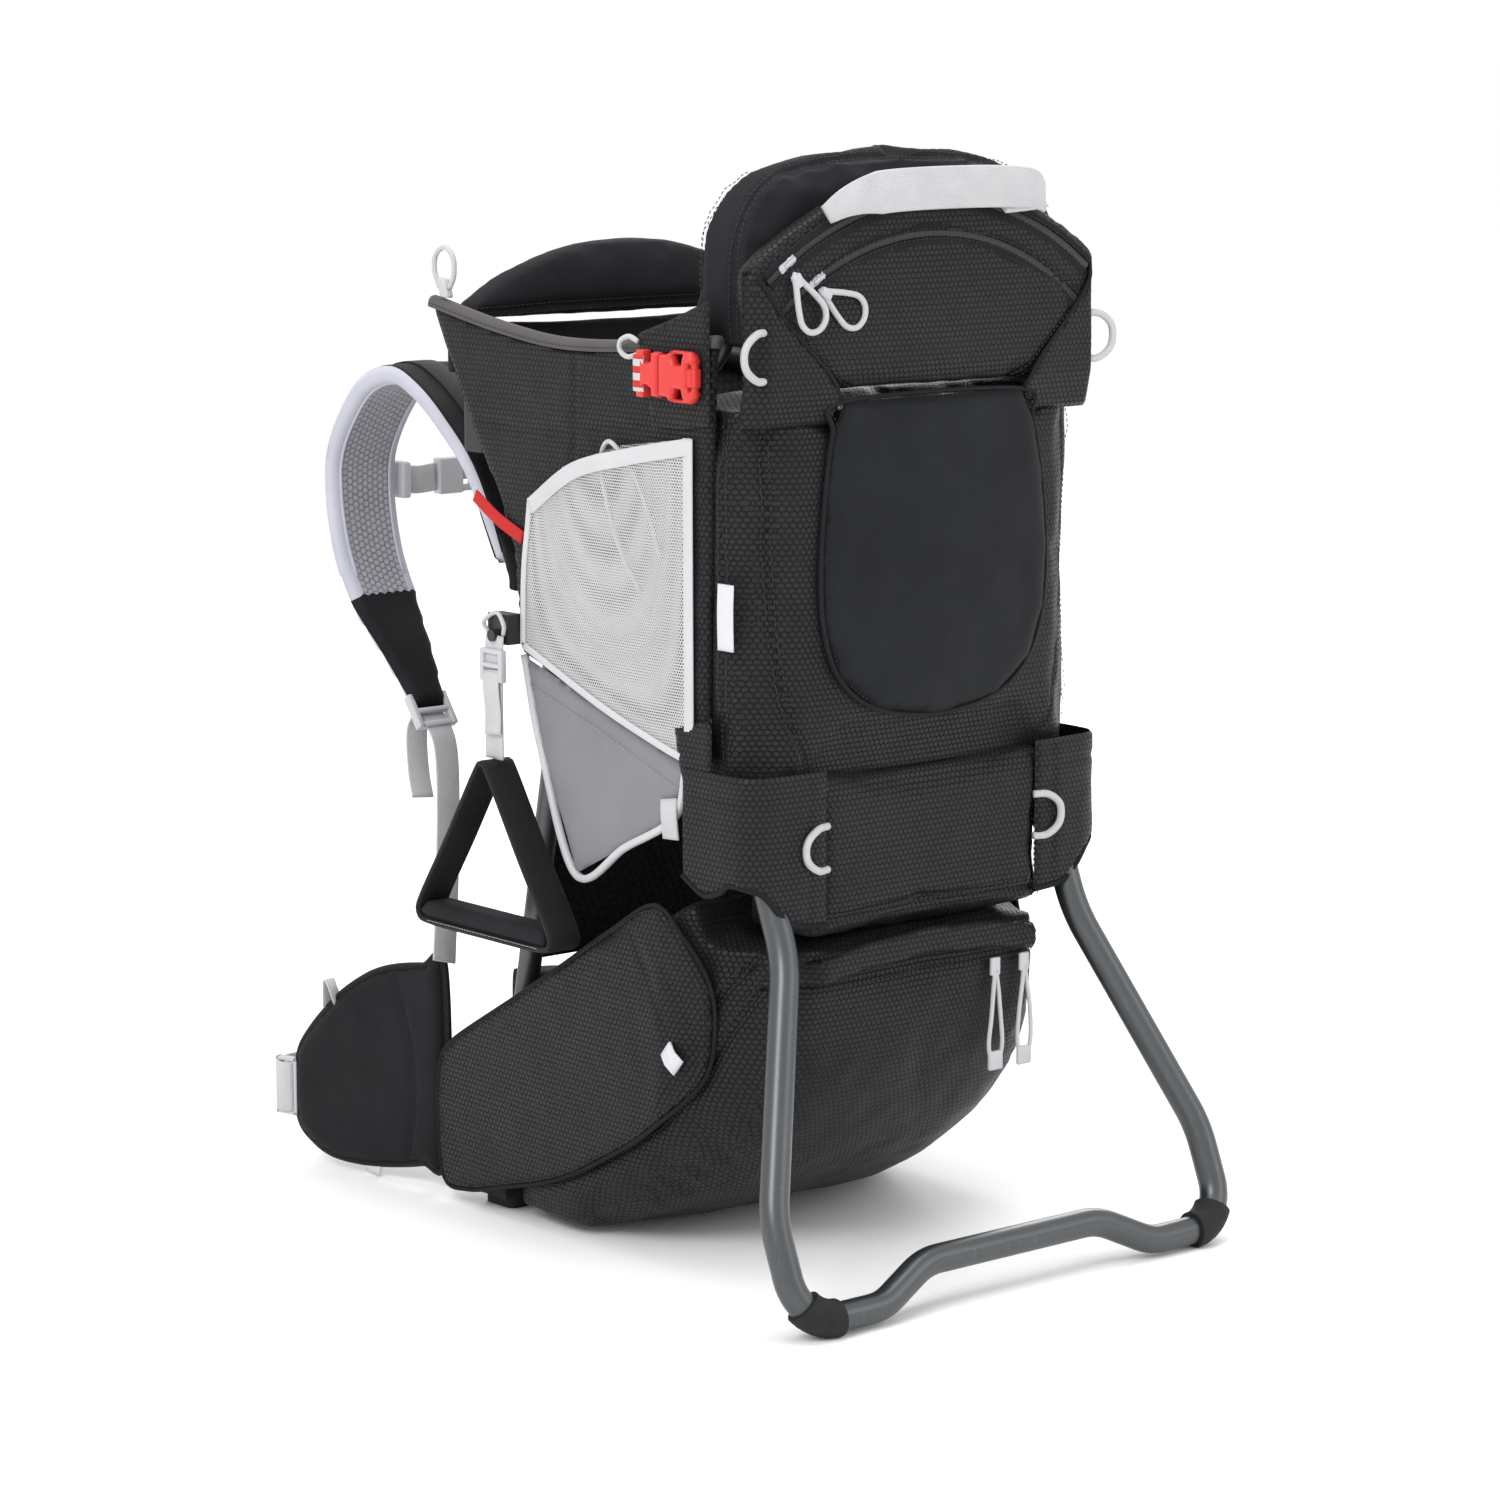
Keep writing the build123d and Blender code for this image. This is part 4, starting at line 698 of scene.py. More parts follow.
def inflate():
    """Cloth pressure on every padded piece at once, held to each piece's cap."""
    starts = []
    for row in SOFT:
        piece = row["piece"]
        starts.append(cords_of(piece))
        if row["pressure"] == 0:
            continue
        cloth = piece.modifiers.new("Cloth", "CLOTH")
        cloth.settings.use_pressure = True
        cloth.settings.uniform_pressure_force = row["pressure"]
        cloth.settings.effector_weights.gravity = 0
        cloth.settings.quality = 4
        cloth.settings.mass = 0.3
        cloth.settings.tension_stiffness = 25
        cloth.settings.compression_stiffness = 25
        cloth.settings.bending_stiffness = 2
        cloth.point_cache.frame_start = 1
        cloth.point_cache.frame_end = 20
    for step in range(1, 21):
        SCENE.frame_set(step)
    for row, start in zip(SOFT, starts):
        piece = row["piece"]
        if piece.modifiers:
            apply_modifiers(piece)
            moved = cords_of(piece) - start
            far = np.linalg.norm(moved, axis=1)
            limit = row["cap"] * MM
            moved *= np.where(far > limit, limit / np.maximum(far, 1e-9), 1)[:, None]
            set_cords(piece, start + moved)
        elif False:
            set_cords(piece, start + normals_of(piece) * row["cap"] * 0.6 * MM)
        if row["levels"]:
            finer = piece.modifiers.new("finer", "SUBSURF")
            finer.levels = row["levels"]
            finer.render_levels = row["levels"]
            apply_modifiers(piece)
        if row["bulge"]:
            set_cords(piece, row["bulge"](cords_of(piece) / MM) * MM)
        crease(piece, row["seams"], row["groove"], row["width"], row["wrinkle"])
        box_uv(piece)
        piece.data.materials.clear()
        for material in row["material"] if isinstance(row["material"], (list,
            tuple)) else [row["material"]]:
            piece.data.materials.append(material)
        piece.data.polygons.foreach_set("use_smooth", np.ones(len(piece.data.polygons), bool))
        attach(piece, row["body"])
    SCENE.frame_set(1)


def on_surface(tree, points):
    """Points and normals of a surface nearest to some millimetre points."""
    places, ups = [], []
    for p in points:
        hit, normal, _, _ = tree.find_nearest(Vector(p) * MM)
        places.append(tuple(hit / MM))
        ups.append(tuple(normal))
    return np.array(places), np.array(ups)


def crease(piece, seams, depth, width, wrinkle):
    """Sewn grooves with puckers along seams, and shallow wrinkles everywhere."""
    co = cords_of(piece) / MM
    normal = normals_of(piece)
    offset = np.zeros(len(co))
    if wrinkle:
        folds = [noise.noise(Vector(p) / 42) + 0.6 * noise.noise(Vector(p) / 17) for p in co]
        offset += np.array(folds) * wrinkle
    tree = BVHTree.FromObject(piece, bpy.context.evaluated_depsgraph_get())
    for index, seam in enumerate(seams):
        line = resampled(seam, 2.0)
        line, up = on_surface(tree, line)
        for _ in range(4):
            line[1:-1] = (line[:-2] + 2 * line[1:-1] + line[2:]) / 4
        finder = KDTree(len(line))
        for k, p in enumerate(line):
            finder.insert(Vector(p), k)
        finder.balance()
        low, high = line.min(0) - 4 * width, line.max(0) + 4 * width
        close = np.where(((co > low) & (co < high)).all(1))[0]
        for k in close:
            _, mark, far = finder.find(Vector(co[k]))
            if far < 4 * width:
                offset[k] -= depth * math.exp(-((far / width) ** 2))
                pucker = math.sin(mark * 2.0 / 7.5 * 2 * math.pi + index) * 0.35
                offset[k] += pucker * math.exp(-((far / (2.2 * width)) ** 2))
        row = dict(line=line, up=up, piece=piece)
        SEWN.append(row)
    set_cords(piece, (co + normal * offset[:, None]) * MM)




def stitch_row(name, line, up, body, material, shift=0.0, length=2.4, gap=1.3, radius=0.32, lift=0.25):
    """A row of thread stitches lying on a surface, to one side of a line."""
    line = sized(line)
    tangent = np.gradient(line, axis=0)
    tangent /= np.linalg.norm(tangent, axis=1)[:, None]
    side = np.cross(tangent, up)
    side /= np.maximum(np.linalg.norm(side, axis=1), 1e-9)[:, None]
    moved = line + side * shift + up * lift
    runs = np.concatenate([[0], np.cumsum(np.linalg.norm(np.diff(moved, axis=0), axis=1))])
    verts, faces, uvs = [], [], []
    pitch = length + gap
    marks = np.arange(0, runs[-1] - length, pitch)
    for mark in marks:
        ends = np.array([mark, mark + length * 0.25, mark + length * 0.75, mark + length])
        centre = np.column_stack([np.interp(ends, runs, moved[:, k]) for k in range(3)])
        raised = np.column_stack([np.interp(ends, runs, up[:, k]) for k in range(3)])
        beside = np.column_stack([np.interp(ends, runs, side[:, k]) for k in range(3)])
        sink = np.array([-0.5, 0.35, 0.35, -0.5]) * radius
        fat = np.array([0.55, 1, 1, 0.55]) * radius
        start = len(verts)
        for k in range(4):
            for turn in range(6):
                angle = turn * math.pi / 3
                lift = raised[k] * (sink[k] + fat[k] * math.sin(angle))
                verts.append(centre[k] + lift + beside[k] * fat[k] * math.cos(angle))
                uvs.append((ends[k], turn * radius))
        for k in range(3):
            for turn in range(6):
                n = (turn + 1) % 6
                a = start + k * 6
                faces.append((a + turn, a + 6 + turn, a + 6 + n, a + n))
        faces.append(tuple(range(start, start + 6)))
        faces.append(tuple(range(start + 18, start + 24)))
    if verts:
        return put(name, verts, faces, material, body, uvs)
    return None


def ribbon(name, path, width, thick, material, body, across, step=3.0, smooth=True,
    scale=None, closed=False):
    """A flat strap along a path, its width along the across direction."""
    path = curved(path, step, closed) if smooth else resampled(path, step, closed)
    if scale is not None:
        marks = np.linspace(0, 1, len(path))
        scale = np.column_stack([np.interp(marks, *scale), np.ones(len(path))])
    profile = rounded(width, thick, thick * 0.45, 2)
    return sweep(name, path, profile, material, body, across, closed, scale)


def round_cord(name, path, diameter, body, material=None, closed=False, step=1.6):
    return sweep(name, curved(path, step, closed), round_section(diameter / 2), material or CORD, body,
        closed=closed)


def blocks(name, rows, origin, axes, material, body, bevel=0.8):
    """Moulded bars: boxes in a local frame, each (u0, u1, v0, v1, w0, w1), with rounded edges."""
    verts, faces = [], []
    axes = [np.array(a, float) / np.linalg.norm(a) for a in axes]
    for u0, u1, v0, v1, w0, w1 in rows:
        start = len(verts)
        for u in (u0, u1):
            for v in (v0, v1):
                for w in (w0, w1):
                    verts.append(np.array(origin, float) + axes[0] * u + axes[1] * v + axes[2] * w)
        for a in ((0, 1, 3, 2), (4, 6, 7, 5), (0, 4, 5, 1), (2, 3, 7, 6), (0, 2, 6, 4), (1, 5, 7, 3)):
            faces.append(tuple(start + k for k in a))
    made = put(name, verts, faces, material, body)
    edge = made.modifiers.new("edge", "BEVEL")
    edge.width = bevel * MM
    edge.segments = 2
    edge.limit_method = "NONE"
    return made


def paint_node(node, material):
    """A CAD node whose shape is right gets its material."""
    mesh = NODES[node].data
    if not mesh.materials:
        mesh.materials.append(material)
    for k in range(len(mesh.materials)):
        mesh.materials[k] = material


def side_place(side, middle):
    """Panels on the pack's sides: u is fore and aft, v is height, h points out."""
    return lambda u, v, h: np.column_stack([side * (middle + h), u, v])


def cloth(made, outline, rests_on):
    """Does nothing: the sheet, its cut outline and what it rests on are not used."""


# ---------------------------------------------------------------- padded pieces grown from the CAD
ARC_Z, OUTER_ARC, INNER_ARC = 478.7, 217, 195


def rear_swell(x, z):
    """How far the stuffed back of the pack stands out, in millimetres."""
    high = np.sin(math.pi * np.clip((z - 330) / 250, 0, 1)) ** 0.6
    return 13.0 * np.exp(-((x / 105) ** 2)) * high


def pocket_swell(x, z):
    return 8.0 * np.exp(-((x / 95) ** 2)) * np.exp(-(((z - 592) / 38) ** 2))


def rear_shape(co):
    """Swells the back of the pack and draws its lower edge down behind the hinge band."""
    moved = swollen(rear_swell, -150)(co)
    moved[:, 2] -= 14 * np.clip((362 - co[:, 2]) / 16, 0, 1)
    return moved


def leaning_head(co):
    """The headrest's padded front slopes back towards its top."""
    moved = co.copy()
    moved[:, 1] -= 17 * np.clip((co[:, 2] - 628) / 90, 0, 1) * np.clip((co[:, 1] + 168) / 48, 0, 1)
    return moved


BELLY_Y = [-203, -176, -118, -40, 58]
BELLY_Z = [190, 100, 44, 9, 5]


def rounded_belly(co):
    """Lifts the bag's two lower rear corners, so that it narrows towards its belly."""
    moved = co.copy()
    wide = np.clip((np.abs(co[:, 0]) - 55) / 93, 0, 1) ** 2
    behind = np.clip((-10 - co[:, 1]) / 120, 0, 1)
    low = np.clip(1 - (co[:, 2] - np.interp(co[:, 1], BELLY_Y, BELLY_Z)) / 110, 0, 1)
    moved[:, 2] += 40 * wide * behind * low
    moved[:, 0] *= 1 - 0.1 * behind * low * np.clip((150 - co[:, 2]) / 100, 0, 1)
    return moved


def tapered_pocket(co):
    """The top pocket narrows towards its lower edge and swells over the stuffing."""
    moved = swollen(pocket_swell, -178)(co)
    moved[:, 0] *= 1 - 0.05 * np.clip((640 - co[:, 2]) / 68, 0, 1)
    return moved


def swollen(swell, start):
    """Moves the back of a piece out by its swell."""

    def move(co):
        share = np.clip((start - co[:, 1]) / 30, 0, 1)
        moved = co.copy()
        moved[:, 1] -= swell(co[:, 0], co[:, 2]) * share
        return moved

    return move


soft_copy(
    "headrest", "headrest_pad", PAD, "pack", voxel=5, cap=6, shrink=3.5, bulge=leaning_head, fill=0.8,
    slot="pad_fabric",
    seams=[
        [(-137, -132, 606), (-136, -132, 665), (-120, -132, 700), (-98, -132, 716), (0, -132, 728), (98,
            -132, 716), (120, -132, 700), (136, -132, 665), (137, -132, 606)],
        [(-137, -168, 606), (-136, -168, 665), (-120, -168, 700), (-98, -168, 716), (0, -168, 728), (98,
            -168, 716), (120, -168, 700), (136, -168, 665), (137, -168, 606)],
        [(-100, -120, 604), (-96, -120, 672), (-60, -120, 702), (0, -120, 708), (60, -120, 702), (96,
            -120, 672), (100, -120, 604)],
    ],
)
soft_copy(
    "front_collar", "collar_pad", PAD, "pack", voxel=4.5, cap=5, shrink=2.5, fill=0.8, slot="pad_fabric",
    seams=[[(-134, 102, 612), (-60, 102, 614), (0, 102, 614), (60, 102, 614), (134, 102, 612)]],
)
soft_copy("cockpit_front", "cockpit_front_panel", PAD, "pack", voxel=3.5, cap=3, shrink=1.2, fill=0.4,
    slot="pack_fabric", wrinkle=0.4)
soft_copy(
    "rear_body", "rear_shell", PACK, "pack", voxel=5, cap=5, shrink=2.5, bulge=rear_shape, fill=0.6,
    slot="pack_fabric", groove=2.2,
    groove_width=3.0,
    seams=[
        [(-134, -198, 572), (-134, -198, 480), (-130, -198, 430), (-120, -198, 386), (-104, -198, 345)],
        [(134, -198, 572), (134, -198, 480), (130, -198, 430), (120, -198, 386), (104, -198, 345)],
        [(-150, -172, 345), (-150, -172, 450), (-150, -172, 565)],
        [(150, -172, 345), (150, -172, 450), (150, -172, 565)],
    ],
)
soft_copy(
    "zip_pocket", "top_pocket", PACK, "pack", voxel=4.5, cap=4, shrink=2.0, bulge=tapered_pocket,
    fill=0.5, slot="pack_fabric", groove=2.4,
    groove_width=3.2, wrinkle=1.2,
    seams=[
        [(p[0], -203, p[1]) for p in arc((0, ARC_Z), OUTER_ARC, -39, 39)],
        [(p[0], -203, p[1]) for p in arc((0, ARC_Z), INNER_ARC, -42, 42)],
        [(-142, -203, 634), (-110, -203, 608), (-70, -203, 574)],
        [(142, -203, 634), (110, -203, 608), (70, -203, 574)],
    ],
)
soft_copy(
    "hinge_band", "hinge_panel", PACK, "pack", voxel=5, cap=4, shrink=2.0, fill=0.4, slot="pack_fabric",
    seams=[
        [(-100, -206, 334), (-98, -206, 290), (-96, -206, 230)],
        [(100, -206, 334), (98, -206, 290), (96, -206, 230)],
        [(-100, -206, 240), (0, -206, 243), (100, -206, 240)],
    ],
)
soft_copy(
    "lower_bag", "lower_bag_shell", PACK, "pack", voxel=5.5, cap=4, shrink=3.0, bulge=rounded_belly,
    fill=0.7, slot="pack_fabric", groove=2.6,
    groove_width=3.4, wrinkle=1.3,
    seams=[
        [(-148, 52, 26), (-148, 0, 38), (-148, -47, 62), (-148, -100, 92), (-146, -140, 124), (-140, -165,
            168), (-132, -188, 200)],
        [(148, 52, 26), (148, 0, 38), (148, -47, 62), (148, -100, 92), (146, -140, 124), (140, -165, 168),
            (132, -188, 200)],
        [(-148, -112, 118), (-148, -122, 142), (-146, -140, 166), (-140, -168, 208), (-136, -176, 222)],
        [(-132, -188, 196), (-60, -203, 198), (0, -203, 200), (60, -203, 198), (132, -188, 196)],
    ],
)
soft_copy(
    "lumbar_pad", "lumbar_cushion", [SPACER_DARK], "pack", voxel=4.5, cap=6, shrink=3, fill=0.7,
    slot="air_mesh",
    seams=[
        [(-60, 128, 44), (-60, 128, 150)], [(60, 128, 44), (60, 128, 150)],
        [(-92, 128, 70), (0, 128, 66), (92, 128, 70)], [(-92, 128, 122), (0, 128, 126), (92, 128, 122)],
    ],
)
soft_copy("hip_fins", "hip_fin_pads", PLAIN, "pack", voxel=4.5, cap=3.5, shrink=2.2, fill=0.5,
    slot="pack_fabric")
soft_copy(
    "seat_cushion", "seat_pad", LINING, "seat", voxel=4.5, cap=5, shrink=2.5, fill=0.6, slot="pad_fabric",
    seams=[[(-80, -40, 322), (80, -40, 322)], [(0, -90, 322), (0, 15, 322)]],
)
soft_copy(
    "seat_back", "seat_back_pad", LINING, "seat", voxel=4.5, cap=3.5, shrink=2, fill=0.5,
    slot="pad_fabric",
    seams=[[(-80, -83, 380), (80, -83, 380)], [(-80, -83, 440), (80, -83, 440)], [(-80, -83, 500),
        (80, -83, 500)]],
)
soft_copy("harness_yoke", "harness_yoke_pad", PAD, "harness", voxel=4.5, cap=4, shrink=2.4, fill=0.5,
    slot="pad_fabric")
inflate()

count = {}
for row in SEWN:
    base = row["piece"].name
    count[base] = count.get(base, 0) + 1
    body = row["piece"]["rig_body"]
    for shift in (-3.0, 3.0):
        index = count[base] * 2 + (shift > 0)
        stitch_row(f"{base}_stitching_{index}", row["line"], row["up"], body, THREAD, shift)


# ---------------------------------------------------------------- flat sewn panels
RIM_LINE = [(135, 618), (60, 605), (-10, 598), (-90, 601), (-165, 608)]
CHEST_LINE = [(44, 455), (62, 495), (85, 530), (111, 575), (135, 618)]
WALL_OUTLINE = (
    curved(RIM_LINE, 5).tolist()
    + [(-157, 338), (-130, 338), (38, 392)]
    + curved(CHEST_LINE, 5).tolist()[:-1]
)
FENDER_OUTLINE = [(36, 388), (20, 330), (-17, 250), (-70, 276), (-120, 303), (-132, 336), (-50, 362)]
POCKET_LIP = [(-146, 548), (-93, 538), (-35, 524), (20, 496)]
POCKET_OUTLINE = [(-146, 548), (-146, 340), (-110, 350), (-50, 368), (30, 398), (28, 450), (20, 496),
    (-35, 524), (-93, 538)]
FLAP_OUTLINE = [(-165, 636), (-128, 622), (-93, 611), (-101, 582), (-108, 553), (-136, 553), (-165, 557)]
for side, name in SIDES:
    wall = pillow(
        f"side_wall_{name}", WALL_OUTLINE, side_place(side, 145.5), 8.6, [PACK, LINING], "pack", step=4.5,
        rim=7,
        seams=[[(-150, 560), (-60, 548), (30, 540), (88, 545)], [(-30, 345), (-20, 470), (-26, 598)]],
        groove=1.3, groove_width=2.6, wave=1.0, seed=side,
        paint=lambda u, v, d, top: np.where(top, 0, 1),
    )
    line = sized([(0, *p) for p in curved(RIM_LINE, 3)]) + (side * 144.6, 0, 1.6)
    sweep(
        f"rim_binding_{name}", line, [(-5.2, -3.5), (-4.9, 1.2), (-3.2, 3.4), (0, 4.2), (3.2, 3.4),
            (4.9, 1.2), (5.2, -3.5), (0, -4.4)],
        RIM, "pack", across=(1, 0, 0),
    )
    stitch_row(
        f"rim_binding_stitching_{name}", line + (side * 5.1, 0, -1.0), np.tile((side, 0, 0),
            (len(line), 1)).astype(float), "pack", THREAD
    )
    fender_seam = [(30, 372), (-40, 352), (-128, 322)]
    fender = pillow(
        f"leg_fender_{name}", FENDER_OUTLINE, side_place(side, 144), 4, FENDER, "pack", step=4, rim=3,
        seams=[fender_seam], groove=0.5, groove_width=1.5, wave=0.7, seed=3 + side,
        single=True,
    )
    cloth(fender, FENDER_OUTLINE, [f"side_wall_{name}"])
    line = sized([(side * 146.2, *p) for p in resampled(fender_seam, 3)])
    stitch_row(f"leg_fender_stitching_{name}", line, np.tile((side, 0, 0), (len(line), 1)).astype(float),
        "pack", THREAD_PALE, 1.2)
    line = curved([(side * 145, 37, 390), (side * 145, 20, 330), (side * 145, -17, 249), (side * 145, -70,
        275), (side * 145, -121, 302), (side * 145, -133, 336)], 3)
    sweep(f"leg_fender_binding_{name}", line, rounded(5.0, 5, 1.6, 2), BIND, "pack", across=(1, 0, 0))

    def net_place(u, v, h, side=side):
        across = np.clip((u + 146) / 170, 0, 1)
        high = np.clip((v - 345 - (u + 146) * 0.3) / 150, 0, 1)
        out = 151.2 + 9.5 * np.sin(math.pi * across) ** 0.8 * high**0.7
        return np.column_stack([side * (out + h), u, v])

    net = pillow(f"mesh_pocket_{name}", POCKET_OUTLINE, net_place, 0, NET, "pack", step=5, single=True)
    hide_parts("mesh_pockets")
    cloth(net, POCKET_OUTLINE, [f"side_wall_{name}"])
    for part, points, width in (
        ("lip", POCKET_LIP, 11),
        ("edge", [(-144, 548), (-144, 440), (-144, 342)], 9),
        ("foot", [(-146, 341), (-110, 350), (-50, 368), (30, 398)], 5),
        ("nose", [(30, 398), (28, 450), (20, 496)], 5),
    ):
        flat = curved(points, 3)
        if part == "lip":
            flat[:, 1] -= 5.0
        shape = net_place(flat[:, 0], flat[:, 1], 0.6)
        tangent = np.gradient(flat, axis=0)
        tangent /= np.linalg.norm(tangent, axis=1)[:, None]
        across = np.column_stack([np.zeros(len(flat)), -tangent[:, 1], tangent[:, 0]])
        sweep(f"mesh_pocket_{part}_{name}", shape, rounded(width, 1.5, 0.6, 2), BIND, "pack",
            across=across)
    liner_outline = POCKET_OUTLINE[:-3] + [(14, 500), (-15, 521), (-72, 538)]
    liner = pillow(
        f"mesh_pocket_back_{name}", liner_outline, side_place(side, 150.6), 0, NET, "pack", step=8,
        single=True,
    )
    cloth(liner, liner_outline, [f"side_wall_{name}"])
    round_cord(
        f"pocket_drawcord_{name}",
        [(side * 153.5, -118, 470), (side * 155, -100, 512), (side * 156, -78, 536), (side * 156, -66,
            540), (side * 156, -60, 526),
         (side * 155.5, -66, 500), (side * 155, -80, 470), (side * 154, -98, 446)], 3.2, "pack",
    )
    side_flap = pillow(
        f"side_flap_{name}", FLAP_OUTLINE, side_place(side, 151.9), 3.0, PACK, "pack", step=3.5, rim=3,
        seams=[[(-163, 630), (-98, 606)], [(-163, 562), (-112, 558)]], groove=0.5, groove_width=1.6,
        single=True,
    )
    cloth(side_flap, FLAP_OUTLINE, [f"side_wall_{name}"])
    pillow(
        f"corner_gusset_{name}", [(-166, 372), (-128, 362), (-134, 336), (-149, 300), (-157, 300),
            (-166, 336)], side_place(side, 151.2), 3.0, PACK, "pack",
        step=3.5, rim=3,
    )
    ribbon(f"gusset_tip_{name}", [(side * 152.8, -153, 309), (side * 153.4, -153, 301),
        (side * 152.6, -153, 293)], 8, 2.0, WEB_PALE, "pack", (0, 1, 0))
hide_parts("side_walls")
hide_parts("rim_bindings")
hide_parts("leg_fenders")
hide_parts("side_flaps")

shield = [(-76, 571), (76, 571), (86, 552), (93, 515), (97, 470), (95, 430), (82, 396), (52, 374), (0,
    366), (-52, 374), (-82, 396), (-95, 430), (-97, 470), (-93, 515), (-86, 552)]


def shield_place(u, v, h):
    return np.column_stack([u, -203.5 - rear_swell(u, v) - h, v])


panel = pillow("stretch_pocket_panel", shield, shield_place, 9, STRETCH, "pack", step=4.5, rim=14,
    wave=0.8, seed=5)
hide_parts("stretch_pocket")
line = curved([(x, -203.0 - float(rear_swell(x, z)), z) for x, z in shield], 3, True)
sweep("stretch_pocket_binding", line, round_section(1.7, 8), STRETCH, "pack", closed=True)
stitch_row("stretch_pocket_stitching", np.vstack([line, line[:1]]) + (0, -0.9, 0),
    np.tile((0.0, -1.0, 0.0), (len(line) + 1, 1)), "pack", THREAD, 3.0)

flap = [(-128, 192), (-60, 203), (0, 207), (60, 203), (128, 192), (128, 208), (60, 221), (0, 225), (-60,
    221), (-128, 208)]


corner = [(152, 655), (152, 556), (84, 556), (78, 574), (92, 592), (128, 628), (146, 655)]
for side, name in SIDES:
    def corner_place(u, v, h, side=side):
        past = np.clip(u - 138, 0, None)
        back = np.interp(v, [556, 580], [-200.0, -205.2]) - pocket_swell(u, v) * 0.8 + 0.9 * past - h
        return np.column_stack([side * (u - 0.25 * past), back, v])

    panel = pillow(
        f"pocket_corner_{name}", corner, corner_place, 3.2, PACK, "pack", step=3.5, rim=4, wave=0.5,
        seed=31 + side,
    )
    line = curved([(80, 574), (92, 591), (128, 627), (145, 653)], 3)
    line = corner_place(line[:, 0], line[:, 1], np.full(len(line), 0.6))
    sweep(f"pocket_corner_piping_{name}", line, round_section(1.4, 8), PLAIN, "pack")


def flap_place(u, v, h):
    """Across the bag's back, then round its two corners."""
    past = np.clip(np.abs(u) - 92, 0, None)
    return np.column_stack([np.sign(u) * (np.abs(u) - 0.25 * past), -206.5 - h + 1.15 * past, v])


panel = pillow("zip_storm_flap", flap, flap_place, 6.0, PACK, "pack", step=3.5, rim=6, wave=0.6, seed=9)
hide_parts("zip_flap")

BAG_SIDE = curved(
    [(128, 14), (134, 60), (130, 98), (118, 112), (96, 126), (45, 155), (-6, 185), (-60, 218), (-106,
        243), (-128, 226), (-146, 196), (-149, 160),
     (-140, 127), (-100, 91), (-47, 60), (0, 38), (63, 20), (100, 11)], 5, True,
)
CORNER_Y = [-208, -192, -175, -158, -145, -130, -112, 160]
CORNER_X = [96, 108, 118, 128, 136, 143, 148, 148]
for side, name in SIDES:
    def bag_place(u, v, h, side=side):
        swell = 2.2 * np.sin(math.pi * np.clip((u + 150) / 285, 0, 1))
        return np.column_stack([side * (np.interp(u, CORNER_Y, CORNER_X) + 1.6 + swell + h), u, v])

    panel = pillow(
        f"bag_side_{name}", BAG_SIDE, bag_place, 3.2, PACK, "pack", step=4.5, rim=11, back=5, wave=0.9,
        seed=23 + side,
        seams=[[(-112, 108), (-124, 130), (-122, 152), (-104, 190), (-84, 222)], [(-132, 118),
            (-138, 150), (-128, 184), (-108, 216)]], groove=1.2, groove_width=2.4,
    )
    line = bag_place(BAG_SIDE[:, 0], BAG_SIDE[:, 1], np.zeros(len(BAG_SIDE)))
    sweep(f"bag_side_piping_{name}", line, round_section(1.5, 8), PLAIN, "pack", closed=True)
    inner = BAG_SIDE + (BAG_SIDE.mean(0) - BAG_SIDE) * 0.035
    line = bag_place(inner[:, 0], inner[:, 1], np.full(len(inner), 2.2))
    stitch_row(f"bag_side_stitching_{name}", line, np.tile((float(side), 0, 0), (len(line), 1)), "pack",
        THREAD)

mesh_points = cords_of(NODES["back_panel"]) / MM
HOOP_FIT = np.polyfit(mesh_points[:, 2], mesh_points[:, 1], 6)


def back_place(u, v, h):
    return np.column_stack([u, np.polyval(HOOP_FIT, v) + h, v])


panel = pillow(
    "back_mesh_panel", [(-105, 170), (105, 170), (105, 566), (-105, 566)], back_place, 5, [SPACER_DARK,
        SPACER_DARK], "pack", step=7, rim=4,
    seams=[[(-70, 180), (-70, 560)], [(70, 180), (70, 560)], [(-100, 300), (100, 300)], [(-100, 440),
        (100, 440)]],
    groove=1.2, groove_width=3,
)
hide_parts("back_panel")


# ---------------------------------------------------------------- leg tunnels at the hinge band's ends
WING_PLAN = curved([(90, -207.4), (104, -207.6), (122, -207), (140, -205), (150, -198), (153, -184), (153,
    -160), (153, -138)], 3)
WING_RUNS = np.concatenate([[0], np.cumsum(np.linalg.norm(np.diff(WING_PLAN, axis=0), axis=1))])
WING_NORMAL = np.column_stack([-np.gradient(WING_PLAN[:, 1]), np.gradient(WING_PLAN[:, 0])])
WING_NORMAL /= -np.linalg.norm(WING_NORMAL, axis=1)[:, None]
WING_END = WING_RUNS[-1]


def wing_place(side):
    def place(u, v, h):
        x = np.interp(u, WING_RUNS, WING_PLAN[:, 0]) + np.interp(u, WING_RUNS, WING_NORMAL[:, 0]) * h
        y = np.interp(u, WING_RUNS, WING_PLAN[:, 1]) + np.interp(u, WING_RUNS, WING_NORMAL[:, 1]) * h
        return np.column_stack([side * x, y, v])

    return place


